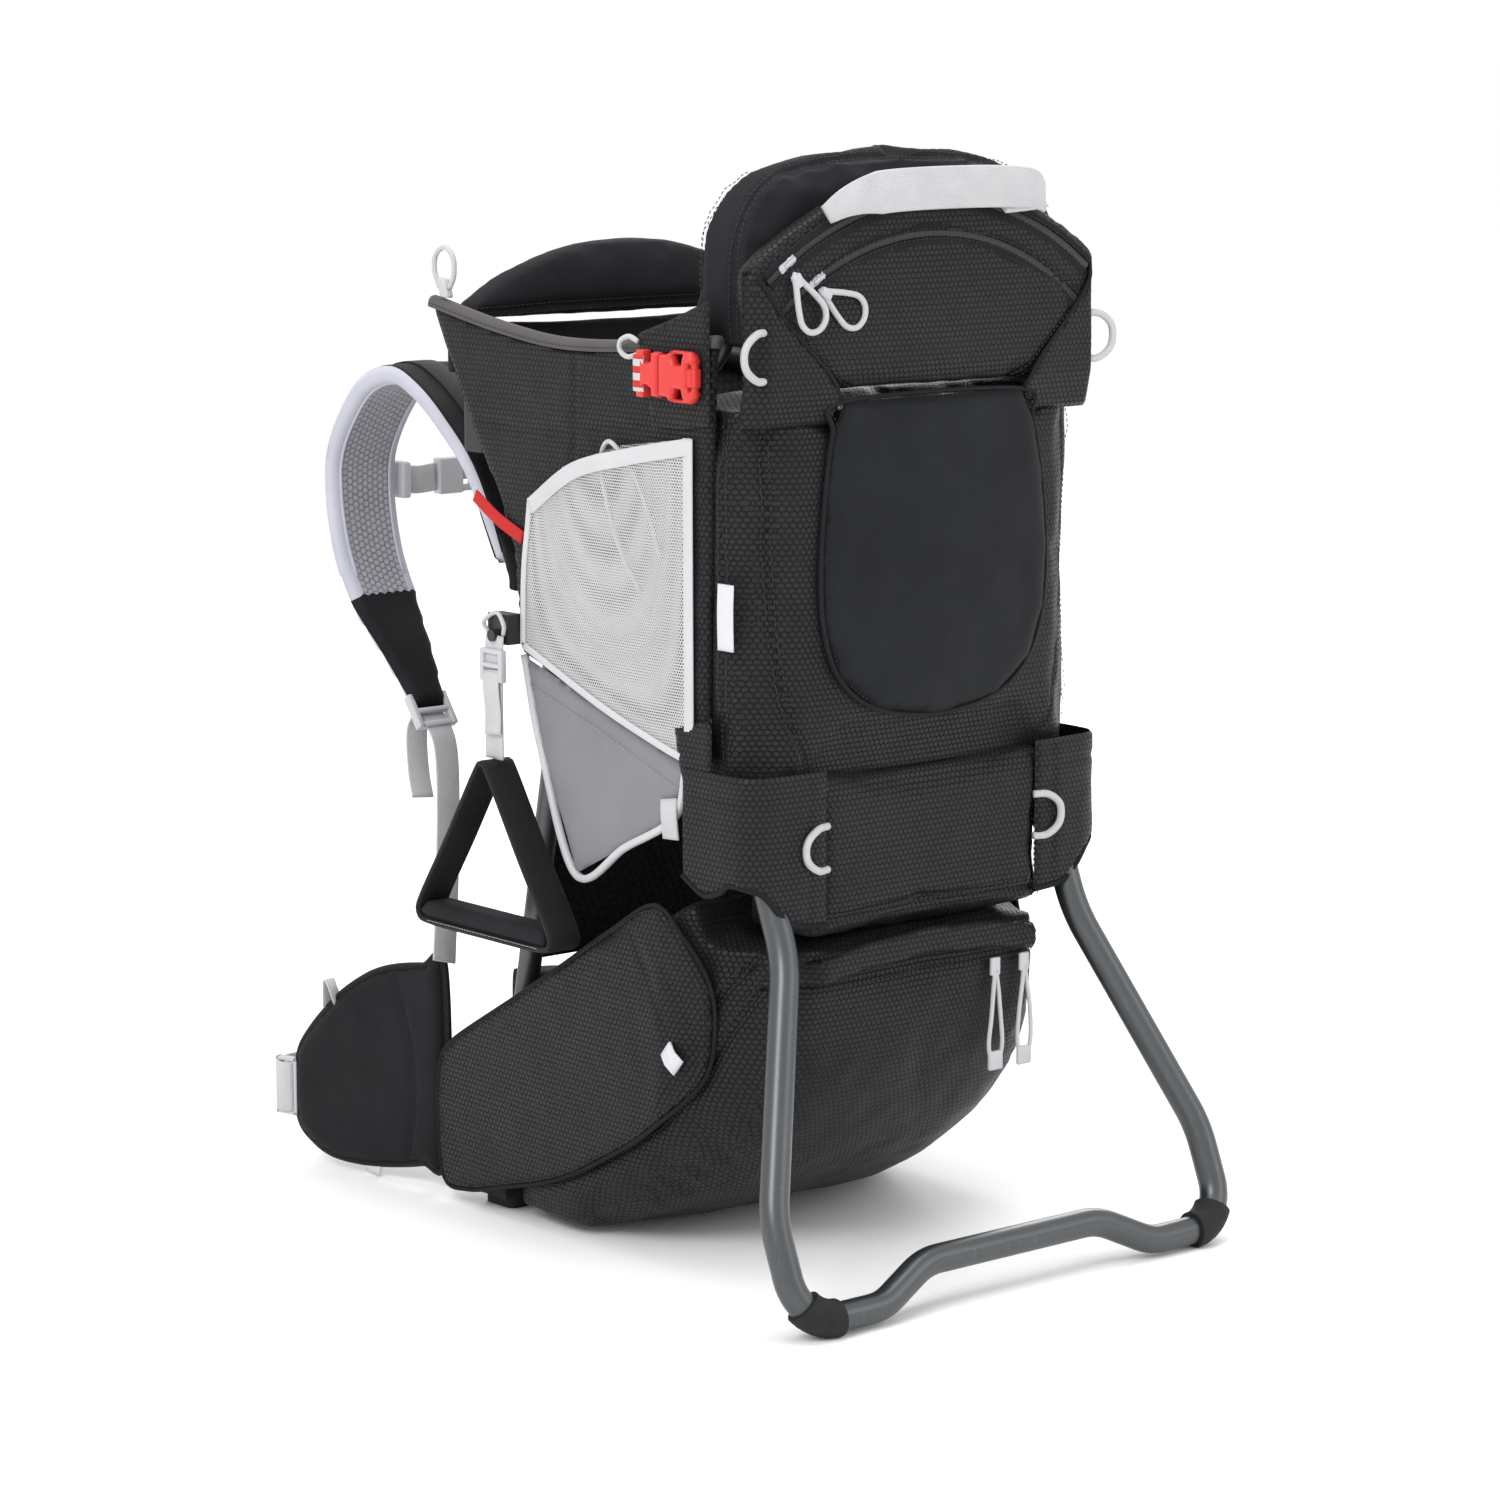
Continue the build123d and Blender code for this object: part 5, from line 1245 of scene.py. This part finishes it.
for side, name in SIDES:
    outline = [(1, 338), (WING_END - 1, 338), (WING_END - 1, 268), (WING_END - 22, 258), (WING_END - 38,
        262), (WING_END - 48, 268), (54, 264), (40, 250), (28, 241), (1, 238)]
    panel = pillow(
        f"leg_tunnel_{name}", outline, wing_place(side), 4, PACK, "pack", step=3.5, rim=3,
        seams=[[(4, 322), (WING_END - 3, 322)], [(16, 332), (16, 246)]], groove=0.9, groove_width=2.2,
        wave=0.8, seed=11 + side, single=True,
    )
    if side < 0:
        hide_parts("band_wings")
    cloth(panel, outline, ["hinge_panel"])
    hem = curved(outline[2:], 3)
    hem_line = wing_place(side)(hem[:, 0], hem[:, 1], np.zeros(len(hem)))
    sweep(f"leg_tunnel_binding_{name}", hem_line, round_section(2.1, 8), PLAIN, "pack")


# ---------------------------------------------------------------- shoulder harness
STRAP_ROUTE = curved([(0, 80, 444), (0, 112, 502), (0, 148, 536), (0, 178, 556), (0, 206, 565), (0, 238,
    556), (0, 264, 530), (0, 279, 503), (0, 281, 476), (0, 277, 450), (0, 268, 424), (0, 250, 395), (0,
    226, 366), (0, 200, 330)], 3)
STRAP_RUNS = np.concatenate([[0], np.cumsum(np.linalg.norm(np.diff(STRAP_ROUTE, axis=0), axis=1))])
STRAP_LONG = STRAP_RUNS[-1]
STRAP_UP = np.column_stack([np.zeros(len(STRAP_ROUTE)), -np.gradient(STRAP_ROUTE[:, 2]),
    np.gradient(STRAP_ROUTE[:, 1])])
STRAP_UP /= np.linalg.norm(STRAP_UP, axis=1)[:, None]


def strap_place(centre):
    def place(u, v, h):
        y = np.interp(u, STRAP_RUNS, STRAP_ROUTE[:, 1]) + np.interp(u, STRAP_RUNS, STRAP_UP[:, 1]) * h
        z = np.interp(u, STRAP_RUNS, STRAP_ROUTE[:, 2]) + np.interp(u, STRAP_RUNS, STRAP_UP[:, 2]) * h
        return np.column_stack([centre + v, y, z])

    return place


def strap_half(u):
    return np.interp(u, [0, 40, 90, STRAP_LONG * 0.55, STRAP_LONG - 90, STRAP_LONG - 35, STRAP_LONG], [28,
        30, 30, 30, 28, 19, 13])


marks = np.linspace(2, STRAP_LONG - 1, 60)
for side, name in SIDES:
    outline = np.vstack([np.column_stack([marks, strap_half(marks)]),
        np.column_stack([marks[::-1], -strap_half(marks[::-1])])])

    def strap_paint(u, v, d, top):
        under = np.where((u > STRAP_LONG - 92) | (u < 40), 0, np.where(d < 8.5, 2, 1))
        return np.where(top, np.where(d < 3.0, 2, 0), under)

    inner = [np.column_stack([marks[6:-14], (strap_half(marks[6:-14]) - 9) * k]) for k in (-1, 1)]
    strap = pillow(
        f"shoulder_strap_{name}", outline, strap_place(side * 105), 13, [PLAIN, SPACER, FOAM], "harness",
        step=4, rim=7,
        paint=strap_paint, seams=inner, groove=0.6, groove_width=2,
    )
    if side < 0:
        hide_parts("shoulder_straps")
    for k in (-1, 1):
        edge = strap_place(side * 105)(marks[5:-13], (strap_half(marks[5:-13]) - 8.5) * k,
            np.full(len(marks[5:-13]), -6.3))
        sweep(f"shoulder_strap_piping_{name}_{'in' if k < 0 else 'out'}", edge, round_section(1.3, 8),
            FOAM, "harness")
    top_line = strap_place(side * 105)(marks[8:-10], np.zeros(len(marks[8:-10])),
        np.full(len(marks[8:-10]), 7.2))
    sweep(f"shoulder_strap_webbing_{name}", top_line, rounded(20, 1.6, 0.7, 2), WEB_BLACK, "harness",
        across=(1, 0, 0))
    along = np.array((0.0, -26.0, -36.0))
    along /= np.linalg.norm(along)
    across = np.array((1.0, 0, 0))
    face = np.cross(along, across)
    middle = np.array((side * 105.0, 199.0, 328.6))
    lock = blocks(
        f"strap_lock_{name}",
        [(-13, 13, -16.5, -12, -3.6, 3.6), (-13, 13, 12, 16.5, -3.6, 3.6), (-13, -8.5, -14, 14, -3.6,
            3.6), (-1.5, 2.5, -14, 14, -1.0, 3.8), (8.5, 13, -14, 14, -3.6, 2.6)],
        middle, (along, across, face), GREY_PLASTIC, "harness", 1.2,
    )
    if side < 0:
        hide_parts("strap_locks")
    foot = np.array((side * 142.0, 136.0, 164.0))
    top = np.array((side * 105.0, 182.0, 303.0))
    sag = (foot + top) / 2 + (0, -3.0, -1.0)
    webbing = ribbon(f"strap_webbing_{name}", [foot, sag, top, middle - along * 2 + (0, 3, 0)], 20, 1.8,
        WEB_PALE, None, (1, 0.15, 0.2))
    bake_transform(webbing)
    if side < 0:
        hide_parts("strap_webbings")
    ribbon(
        f"strap_tail_{name}", [middle + (0, 4, 2), middle + (side * 2, 14, -14),
            middle + (side * 3, 12, -42), middle + (side * 5, 4, -62)],
        18, 1.6, WEB_PALE, "harness", (1, 0, 0),
    )
    ribbon(
        f"strap_collar_{name}", [(side * 105, 209, 337), (side * 105, 205, 333)], 26, 9, WEB_BLACK,
        "harness", (1, 0, 0), smooth=False,
    )


# ---------------------------------------------------------------- sternum strap
for side, name in SIDES:
    clip = blocks(
        f"sternum_clip_{name}", [(-3.5, 3.5, -13, 13, -9, 9)], (side * 71, 280, 482), ((1, 0, 0),
            (0, 0, 1), (0, 1, 0)), GREY_PLASTIC, "sternum", 1.6,
    )
    if side < 0:
        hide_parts("sternum_straps")
    inner = -39 if side < 0 else -5
    ribbon(
        f"sternum_webbing_{name}", [(side * 68, 280, 482), ((side * 68 + inner) / 2, 281.5, 480.5),
            (inner, 280, 482)], 20, 1.8, WEB_PALE, "sternum",
        (0, 0, 1),
    )
buckle = blocks(
    "sternum_release", [(-17, 4, -13, 13, -4.6, 4.6), (4, 17, -12, -7.5, -3.6, 3.6),
        (4, 17, 7.5, 12, -3.6, 3.6), (4, 17, -3.5, 3.5, -3, 3), (13, 17, -12, 12, -4.2, 4.2)],
    (-22, 280, 482), ((1, 0, 0), (0, 0, 1), (0, 1, 0)), GREY_PLASTIC, "sternum", 1.3,
)
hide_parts("sternum_buckle")


# ---------------------------------------------------------------- hip belt
FLARE = math.radians(13.6)
WING_OUTLINE = [(1, 24), (1, 158), (20, 157), (45, 153), (66, 146), (88, 133), (104, 120), (124, 99),
    (136, 80), (138, 55), (136, 30), (122, 17), (104, 10), (76, 9), (48, 12), (22, 17)]
for side, name in SIDES:
    root = np.array((side * 138.0, 140.0, 0.0))
    ahead = np.array((side * math.sin(FLARE), math.cos(FLARE), 0.0))
    out = np.array((side * math.cos(FLARE), -math.sin(FLARE), 0.0))

    def hip_place(u, v, h, root=root, ahead=ahead, out=out):
        return root + u[:, None] * ahead + h[:, None] * out + np.column_stack([np.zeros_like(v),
            np.zeros_like(v), v])

    curve_seam = [(30, 20), (24, 60), (26, 100), (40, 146)]
    wing = pillow(
        f"hip_wing_{name}_pad", curved(WING_OUTLINE, 4, True), hip_place, 15.5, [PLAIN, SPACER_DARK],
        f"hip_{name}", step=4.5, rim=11, back=15,
        seams=[curve_seam], groove=2.4, groove_width=3.2, wave=0.9, seed=17 + side, paint=lambda u, v, d,
        top: np.where(top, 0, 1),
    )
    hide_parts(f"hip_wing_{name}")
    border = curved(WING_OUTLINE, 3, True)
    line = hip_place(border[:, 0], border[:, 1], np.zeros(len(border)))
    sweep(f"hip_wing_binding_{name}", line, rounded(4.5, 6.0, 2, 2), WEB_BLACK, f"hip_{name}", across=out,
        closed=True)
    line = curved([(u, v) for u, v in curve_seam], 3)
    line = hip_place(line[:, 0], line[:, 1], np.full(len(line), 6.4))
    stitch_row(f"hip_wing_stitching_{name}", line, np.tile(out, (len(line), 1)), f"hip_{name}", THREAD,
        3.0)

    def at(u, v, h, root=root, ahead=ahead, out=out):
        return tuple(root + np.array(ahead) * u + np.array(out) * h + np.array((0, 0, v)))

    lock = blocks(
        f"belt_lock_{name}",
        [(0, 4, -21, 21, -3, 3), (16, 20, -21, 21, -3, 3), (0, 20, -21, -17.5, -3, 3), (0, 20, 17.5, 21,
            -3, 3), (7.5, 11, -19, 19, -1.5, 3.4)],
        at(138, 54, 0), (ahead, (0, 0, 1), out), GREY_PLASTIC, f"hip_{name}", 1.2,
    )
    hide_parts(f"belt_strap_{name}")
    ribbon(
        f"belt_webbing_{name}",
        [at(141, 54, 2.5), at(149, 54, 5.5), at(156, 54, 2.5), at(160, 54, -4), (side * 160, 301.5, 54),
            (side * 140, 302, 54), (side * 110, 301, 54), (side * 74, 300, 54)],
        36, 1.9, WEB_PALE, f"hip_{name}", (0, 0, 1),
    )
    ribbon(
        f"belt_loop_{name}", [at(100, 121, 0), at(102, 131, 2.5), at(108, 136, 0), at(112, 130, -2.5),
            at(110, 116, 0)], 9, 1.4, WEB_PALE, f"hip_{name}", out,
        step=1.5,
    )
    ribbon(f"belt_tip_{name}", [at(66, 14, 0), at(68, 6, 0), at(69, 2, 0)], 13, 3.0, WHITE_TAB,
        f"hip_{name}", ahead)
    rows = [(-22, 10, -20.5, 20.5, -5.4, 5.4), (10, 15, -17, 17, -4.5, 4.5)] if side < 0 else [(-23, -18,
        -21, 21, -4.5, 4.5), (-23, 2, -21, -16, -4.5, 4.5), (-23, 2, 16, 21, -4.5, 4.5), (-14, -9, -19,
        19, -4, 4), (0, 6, -20, 20, -5, 5), (6, 42, -16, -11, -2.6, 2.6), (6, 42, 11, 16, -2.6, 2.6), (6,
        38, -3, 3, -2.2, 2.2)]
    inward = (-side, 0, 0)
    buckle = blocks(f"belt_release_{name}", rows, (side * 53, 300, 54), (inward, (0, 0, 1), (0, 1, 0)),
        BLACK_PLASTIC, f"hip_{name}", 1.6)
    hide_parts(f"belt_buckle_{name}")


# ---------------------------------------------------------------- stirrups
for side, name in SIDES:
    x = side * 165.4
    body = f"stirrup_{name}"
    loop = curved([(x, 44, 319), (x, 52, 311), (x, 84, 262), (x, 114, 218), (x, 117, 207), (x, 106,
        202.5), (x, 44, 202), (x, -18, 202.5), (x, -29, 207), (x, -26, 218), (x, 4, 262), (x, 36, 311)],
        3, True)
    web = ribbon(f"stirrup_loop_{name}", loop, 26, 4.2, WEB_BLACK, body, (1, 0, 0), smooth=False,
        closed=True)
    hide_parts(f"stirrup_{name}")
    tread = pillow(
        f"stirrup_tread_{name}", [(-24, -13.2), (112, -13.2), (112, 13.2), (-24, 13.2)],
        lambda u, v, h, x=x: np.column_stack([x + v, u, 209.5 + h]), 13, [PAD], body, step=4, rim=5,
        seams=[[(-18, -9.5), (106, -9.5)], [(-18, 9.5), (106, 9.5)]], groove=0.8, groove_width=1.4,
    )
    for k in (-1, 1):
        line = sized([(x + k * 13.6, y, 203.6) for y in np.arange(-18, 108, 3)])
        stitch_row(f"stirrup_stitching_{name}_{'in' if k < 0 else 'out'}", line, np.tile((float(k), 0, 0),
            (len(line), 1)), body, THREAD_PALE, 0, 1.9, 1.1, 0.3)
    ribbon(
        f"stirrup_webbing_{name}", [(side * 164.6, 44, 404), (side * 165.6, 44, 385),
            (side * 165.6, 44, 352), (side * 165.4, 44, 321)], 19, 1.9, WEB_PALE, body, (0, 1, 0),
    )
    lock = blocks(
        f"stirrup_lock_{name}",
        [(-11, 11, -12, -8, -2.4, 2.4), (-11, 11, 8, 12, -2.4, 2.4), (-11, -7.5, -10, 10, -2.4, 2.4),
            (-1.5, 1.5, -10, 10, -1, 3), (7.5, 11, -10, 10, -2.4, 2)],
        (side * 166.4, 44, 384), ((0, 0, 1), (0, 1, 0), (side, 0, 0)), GREY_PLASTIC, body, 1.0,
    )
    ribbon(
        f"stirrup_tail_{name}", [(side * 167.5, 44, 381), (side * 169, 43, 370), (side * 168, 42, 352),
            (side * 169, 41, 338)], 17, 1.5, WEB_PALE, body, (0, 1, 0),
    )
    round_cord(
        f"stirrup_keeper_{name}", [(side * 163.4, 36, 405), (side * 165.5, 33, 412),
            (side * 163.0, 44, 419), (side * 165.5, 55, 412), (side * 163.4, 52, 405)], 3.0, body,
    )


# ---------------------------------------------------------------- zips, pulls and cord loops
def zip_run(name, path, up, body, flap_side):
    """A closed coil zip, a lip of cloth folded over each side of it."""
    path = sized(path)
    up = np.broadcast_to(sized(up), path.shape)
    tangent = np.gradient(path, axis=0)
    tangent /= np.linalg.norm(tangent, axis=1)[:, None]
    across = np.cross(tangent, up)
    across /= np.linalg.norm(across, axis=1)[:, None]
    sweep(f"{name}_coil", path + up * 0.7, rounded(5.0, 1.8, 0.8, 2), ZIP, body, across=across)
    marks = np.cumsum(np.full(len(path), 3.0))
    for k in (-1, 1):
        fat = 1.0 if k == flap_side else 0.7
        wavy = (np.sin(marks / 9 * 2 * math.pi) * 0.12 + 1)[:, None]
        line = path + across * k * (5.2 if k == flap_side else 4.9) + up * 1.0
        sweep(f"{name}_lip_{'low' if k < 0 else 'high'}", line, rounded(6.4 * fat, 3.4 * fat, 1.6 * fat,
            3), PLAIN, body, across=across, scale=np.column_stack([wavy, wavy]))


for label, radius, start, end in (("outer_zip", OUTER_ARC, -39, 39), ("inner_zip", INNER_ARC, -42, 42)):
    line = sized([(p[0], -202.6, p[1]) for p in arc((0, ARC_Z), radius, start, end)])
    zip_run(label, line, (0.0, -1.0, 0.0), "pack", 1)

TEARDROP = [(0, 0), (-3.2, -8), (-8, -20), (-10.5, -30), (-7.5, -37.5), (0, -40.5), (7.5, -37.5), (10.5,
    -30), (8, -20), (3.2, -8)]
for layer, radius, angle, lean in (("outer", OUTER_ARC, -34, 30), ("inner", INNER_ARC, -30, 62)):
    turn = math.radians(angle)
    x, z = radius * math.sin(turn), ARC_Z + radius * math.cos(turn)
    tangent = (math.cos(turn), 0, -math.sin(turn))
    normal = (math.sin(turn), 0, math.cos(turn))
    slider = blocks(
        f"zip_slider_body_{layer}",
        [(-7, 7, -4, 4, -1.5, 0.6), (-7.5, -3, -2.4, 2.4, -1.8, 1.4), (-3, 7, -1.2, 1.2, 0.4, 1.8)],
        (x, -203.9, z), (tangent, normal, (0, -1, 0)), GREY_PLASTIC, f"slider_{layer}", 0.8,
    )
    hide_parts(f"zip_slider_{layer}")
    low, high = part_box(f"zip_pull_{layer}")
    low, high = np.array(low) / MM, np.array(high) / MM
    pivot = np.array((x, (low[1] + high[1]) / 2, z - 6))
    tip = math.radians(lean)
    down = np.array((math.sin(tip), 0, -math.cos(tip)))
    beside = np.array((math.cos(tip), 0, math.sin(tip)))
    path = [pivot + beside * a - down * b for a, b in TEARDROP]
    pull = round_cord(f"zip_cord_{layer}", path, 4.0, f"pull_{layer}", closed=True)
    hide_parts(f"zip_pull_{layer}")
    blocks(
        f"zip_cord_keeper_{layer}", [(-3.4, 3.4, -6, 3, -2.4, 2.4)], pivot + down * 3, (beside, -down,
            (0, -1, 0)), GREY_PLASTIC, f"pull_{layer}", 1.5,
    )

for index, x in enumerate((84, 58)):
    path = [(x, -206.5, 187), (x - 2, -207, 176), (x - 5 + index, -207.2, 156), (x - 6, -207, 138),
        (x - 3, -206.8, 127), (x + 3, -206.8, 127), (x + 6, -207, 138), (x + 5 - index, -207.2, 158),
        (x + 2, -207, 176)]
    pull = round_cord(f"lower_zip_cord_{index + 1}", path, 3.0, "lower_zip", closed=True)
    blocks(
        f"lower_zip_cord_end_{index + 1}", [(-6, 6, -4, 9, -1.7, 1.7)], (x, -206.9, 124), ((1, 0, 0),
            (0, 0, 1), (0, -1, 0)), GREY_PLASTIC, "lower_zip", 1.4,
    )
    blocks(f"lower_zip_slider_{index + 1}", [(-4, 4, -6, 6, -1, 1.6)], (x, -205.6, 190), ((1, 0, 0),
        (0, 0, 1), (0, -1, 0)), GREY_PLASTIC, "lower_zip", 0.8)
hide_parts("lower_zip_pulls")

for side, name in SIDES:
    for label, cx, cy, cz, radius, thick in (("upper", 146, -205.5, 602, 15, 5.0), ("lower", 99, -210.5,
        288, 14, 5.0)):
        bow = [
            (side * (cx - 9), cy + 3, cz + radius), (side * (cx + 1), cy, cz + radius - 0.5),
            (side * (cx + 10), cy - 1, cz + radius * 0.55),
            (side * (cx + 12.5), cy - 1, cz), (side * (cx + 10), cy - 1, cz - radius * 0.55),
            (side * (cx + 1), cy, cz - radius + 0.5), (side * (cx - 9), cy + 3, cz - radius),
        ]
        loop = round_cord(f"cord_ring_{label}_{name}", bow, thick, "pack", WEB_PALE)
        if side < 0 and label == "upper":
            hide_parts("cord_loops")
    x = side * 145
    round_cord(f"corner_toggle_{name}", [(x, 117, 629), (x, 112, 638), (x, 113, 650), (x, 122, 656),
        (x, 132, 651), (x, 134, 640), (x, 128, 629)], 3.6, "pack")
    blocks(f"corner_keeper_{name}", [(-4.5, 4.5, -7, 7, -3, 3)], (x, 122.5, 629), ((0, 1, 0),
        (0, 0.35, 1), (1, 0, 0)), GREY_PLASTIC, "pack", 1.6)
    round_cord(
        f"flap_loop_{name}", [(side * 153.5, -96, 606), (side * 154.5, -88, 609), (side * 155, -80, 606),
            (side * 155, -79, 600), (side * 154.5, -86, 596), (side * 153.5, -96, 598)], 3.4, "pack",
    )


# ---------------------------------------------------------------- carry handle, side buckles, tapes
handle = curved([(-92, -206.5, 688), (-78, -211, 696), (-60, -216.5, 701), (-26, -219, 703), (30, -219,
    703), (70, -216.5, 701), (86, -211, 698), (95, -205.5, 694)], 3)
band = ribbon("carry_handle", handle, 27, 3.2, WEB_PALE, "pack", (0, 0.12, 1), smooth=False,
    scale=([0, 0.06, 0.2, 0.8, 0.93, 1], [0.45, 0.62, 1, 1, 0.95, 0.8]))
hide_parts("grab_handle")
under = curved([(48, -216.5, 690), (72, -214, 691), (86, -209, 692), (95, -204.5, 692)], 3)
ribbon("carry_handle_fold", under, 12, 2.4, WEB_PALE, "pack", (0, 0.7, 0.7), smooth=False)

SOCKET = [(-160, -12), (-156, -16.5), (-137, -16.5), (-133, -13.5), (-126, -13.5), (-126, 13.5), (-133,
    13.5), (-137, 16.5), (-156, 16.5), (-160, 12)]
SOCKET_HOLES = [
    [(-150, -14), (-139, -14), (-141, -8), (-148, -8)],
    [(-150, 14), (-148, 8), (-141, 8), (-139, 14)],
    [(-157.5, -8), (-154.5, -8), (-154.5, 8), (-157.5, 8)],
]
PLUG = [(-125.3, -14.5), (-118, -14.5), (-118, -9), (-112, -7), (-106.5, -13), (-106.5, 13), (-112, 7),
    (-118, 9), (-118, 14.5), (-125.3, 14.5)]
for side, name in SIDES:
    def buckle_place(u, v, h, side=side):
        return np.column_stack([side * (158.1 + h), u, v + 587])

    socket = pillow(f"side_buckle_{name}", SOCKET, buckle_place, 9.0, RED_PLASTIC, "pack", step=1.6,
        rim=1.8, holes=SOCKET_HOLES)
    if side < 0:
        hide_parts("buckle_sockets")
    blocks(f"side_buckle_latch_{name}", [(-17, 12, -6, 6, -3.2, 3.2)], (side * 158.1, -144, 587),
        ((0, 1, 0), (0, 0, 1), (side, 0, 0)), RED_PLASTIC, "pack", 1.2)
    plug = pillow(f"side_plug_{name}", PLUG, buckle_place, 8.4, RED_PLASTIC, f"plug_{name}", step=1.6,
        rim=1.6)
    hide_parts(f"buckle_plug_{name}")
    blocks(
        f"side_plug_bar_{name}", [(-3.5, 3.5, -15, 15, -4, 4)], (side * 158.1, -107, 587), ((0, 1, 0),
            (0, 0, 1), (side, 0, 0)), RED_PLASTIC, f"plug_{name}", 1.2,
    )
    ribbon(
        f"side_plug_webbing_{name}", [(side * 161.2, -111, 587), (side * 161.6, -104, 587),
            (side * 159.5, -99, 587), (side * 156.5, -97.5, 587), (side * 155.5, -102, 587),
            (side * 155.5, -108, 587)],
        23, 1.6, WEB_STRIPE, f"plug_{name}", (0, 0, 1), step=1.5,
    )
    line = curved([(side * 151.3, 82, 493), (side * 151.5, 58, 480), (side * 151.3, 30, 469)], 3)
    ribbon(f"red_tape_{name}", line, 9, 1.7, RED_TAPE, "pack", (0, 0.45, -0.9),
        smooth=False)
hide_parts("trim_strips")
tab = ribbon("side_label_tab", [(-151.3, -180, 459), (-151.9, -180, 440), (-151.4, -180, 417)], 15, 1.5,
    WHITE_TAB, "pack", (0, 1, 0))
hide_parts("side_tab")
ribbon("fender_tab", [(-147.5, -118, 314), (-149, -120, 302), (-148.2, -121, 288)], 16, 1.8, WEB_PALE,
    "pack", (0, 1, 0))
ribbon("fender_tip", [(-150.5, -152, 326), (-152.2, -157, 316), (-151.8, -160, 305)], 8, 2.2, WEB_PALE,
    "pack", (0, 1, 0), scale=([0, 0.5, 1], [1, 0.9, 0.45]))
ribbon("bag_zip_tab", [(-150.5, -118, 150), (-152.6, -124, 145), (-150.8, -131, 139)], 14, 2.4, WHITE_TAB,
    "pack", (0, 0.64, -0.77), smooth=False)


# ---------------------------------------------------------------- child harness in the seat
for side, name in SIDES:
    ribbon(f"child_strap_{name}", [(side * 46, -79, 548), (side * 44, -76, 510), (side * 34, -76, 450),
        (side * 26, -78, 420), (side * 20, -78, 414)], 26, 5.5, PAD, "seat", (1, 0, 0.1))
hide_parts("child_straps")
buckle = blocks("child_release", [(-19, 19, -16, 16, -5, 5), (-9, 9, 16, 19, -3, 3)], (0, -77, 422),
    ((1, 0, 0), (0, 0, 1), (0, 1, 0)), BLACK_PLASTIC, "seat", 3.0)
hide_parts("child_buckle")


# ---------------------------------------------------------------- CAD nodes that keep their shape
for node, material in (
    ("frame_hoop", FRAME_METAL), ("cockpit_rail", FRAME_METAL), ("side_struts", FRAME_METAL), ("base_bar",
        FRAME_METAL),
    ("kickstand_tube", STAND_METAL), ("kickstand_feet", RUBBER), ("base_feet", RUBBER), ("leg_eyes",
        BLACK_PLASTIC),
    ("hinge_brackets", BLACK_PLASTIC), ("frame_joints", BLACK_PLASTIC), ("hinge_pins", STEEL),
    ("stirrup_tabs", BLACK_PLASTIC),
):
    paint_node(node, material)


# ---------------------------------------------------------------- studio
floor = bpy.data.meshes.new("studio_floor")
reach, sunk = FLOOR_REACH, -FLOOR_DROP
floor.from_pydata([(-reach, -reach, sunk), (reach, -reach, sunk), (reach, reach, sunk), (-reach, reach,
    sunk)], [], [(0, 1, 2, 3)])
backdrop = bpy.data.objects.new("studio_floor", floor)
SCENE.collection.objects.link(backdrop)
paper = Look("studio_paper", (0.96, 0.96, 0.96), 0.9, specular=0.0)
paper.tint(paper.spread(paper.noise(900.0, 2.0), 0.4, 0.7, 0.0, 0.04), (0.93, 0.93, 0.93))
floor.materials.append(paper.done())

world = bpy.data.worlds.new("studio")
world.use_nodes = True
world.node_tree.nodes["Background"].inputs["Color"].default_value = (1, 1, 1, 1)
world.node_tree.nodes["Background"].inputs["Strength"].default_value = WORLD_STRENGTH
SCENE.world = world


def softbox(name, place, aim, size, power):
    light = bpy.data.lights.new(name, "AREA")
    light.shape = "RECTANGLE"
    light.size, light.size_y = size
    light.energy = power
    lamp = bpy.data.objects.new(name, light)
    SCENE.collection.objects.link(lamp)
    lamp.location = place
    lamp.rotation_euler = (Vector(aim) - Vector(place)).to_track_quat("-Z", "Y").to_euler()


softbox("key_light", (-2.6, -1.0, 2.4), (0, 0, 0.35), (1.4, 1.4), 42)
softbox("fill_light", (1.6, -2.6, 1.6), (0, 0, 0.35), (1.8, 1.8), 14)
softbox("top_light", (0.2, 0.2, 3.2), (0, 0, 0.3), (2.2, 2.2), 36)
softbox("rim_light", (2.4, 1.6, 1.8), (0, 0, 0.4), (1.2, 1.6), 26)

azimuth, elevation = math.radians(-40), math.radians(9.537)
backward = Vector((math.sin(azimuth) * math.cos(elevation), -math.cos(azimuth) * math.cos(elevation),
    math.sin(elevation)))
sideways = Vector((math.cos(azimuth), math.sin(azimuth), 0))
lens = bpy.data.cameras.new("camera")
lens.lens = 108.8
lens.sensor_width = 36
camera = bpy.data.objects.new("camera", lens)
SCENE.collection.objects.link(camera)
camera.matrix_world = Matrix.Translation((-1.949, -2.346, 0.827)) @ Matrix((sideways,
    backward.cross(sideways), backward)).transposed().to_4x4()
SCENE.camera = camera
SCENE.view_settings.view_transform = "Standard"
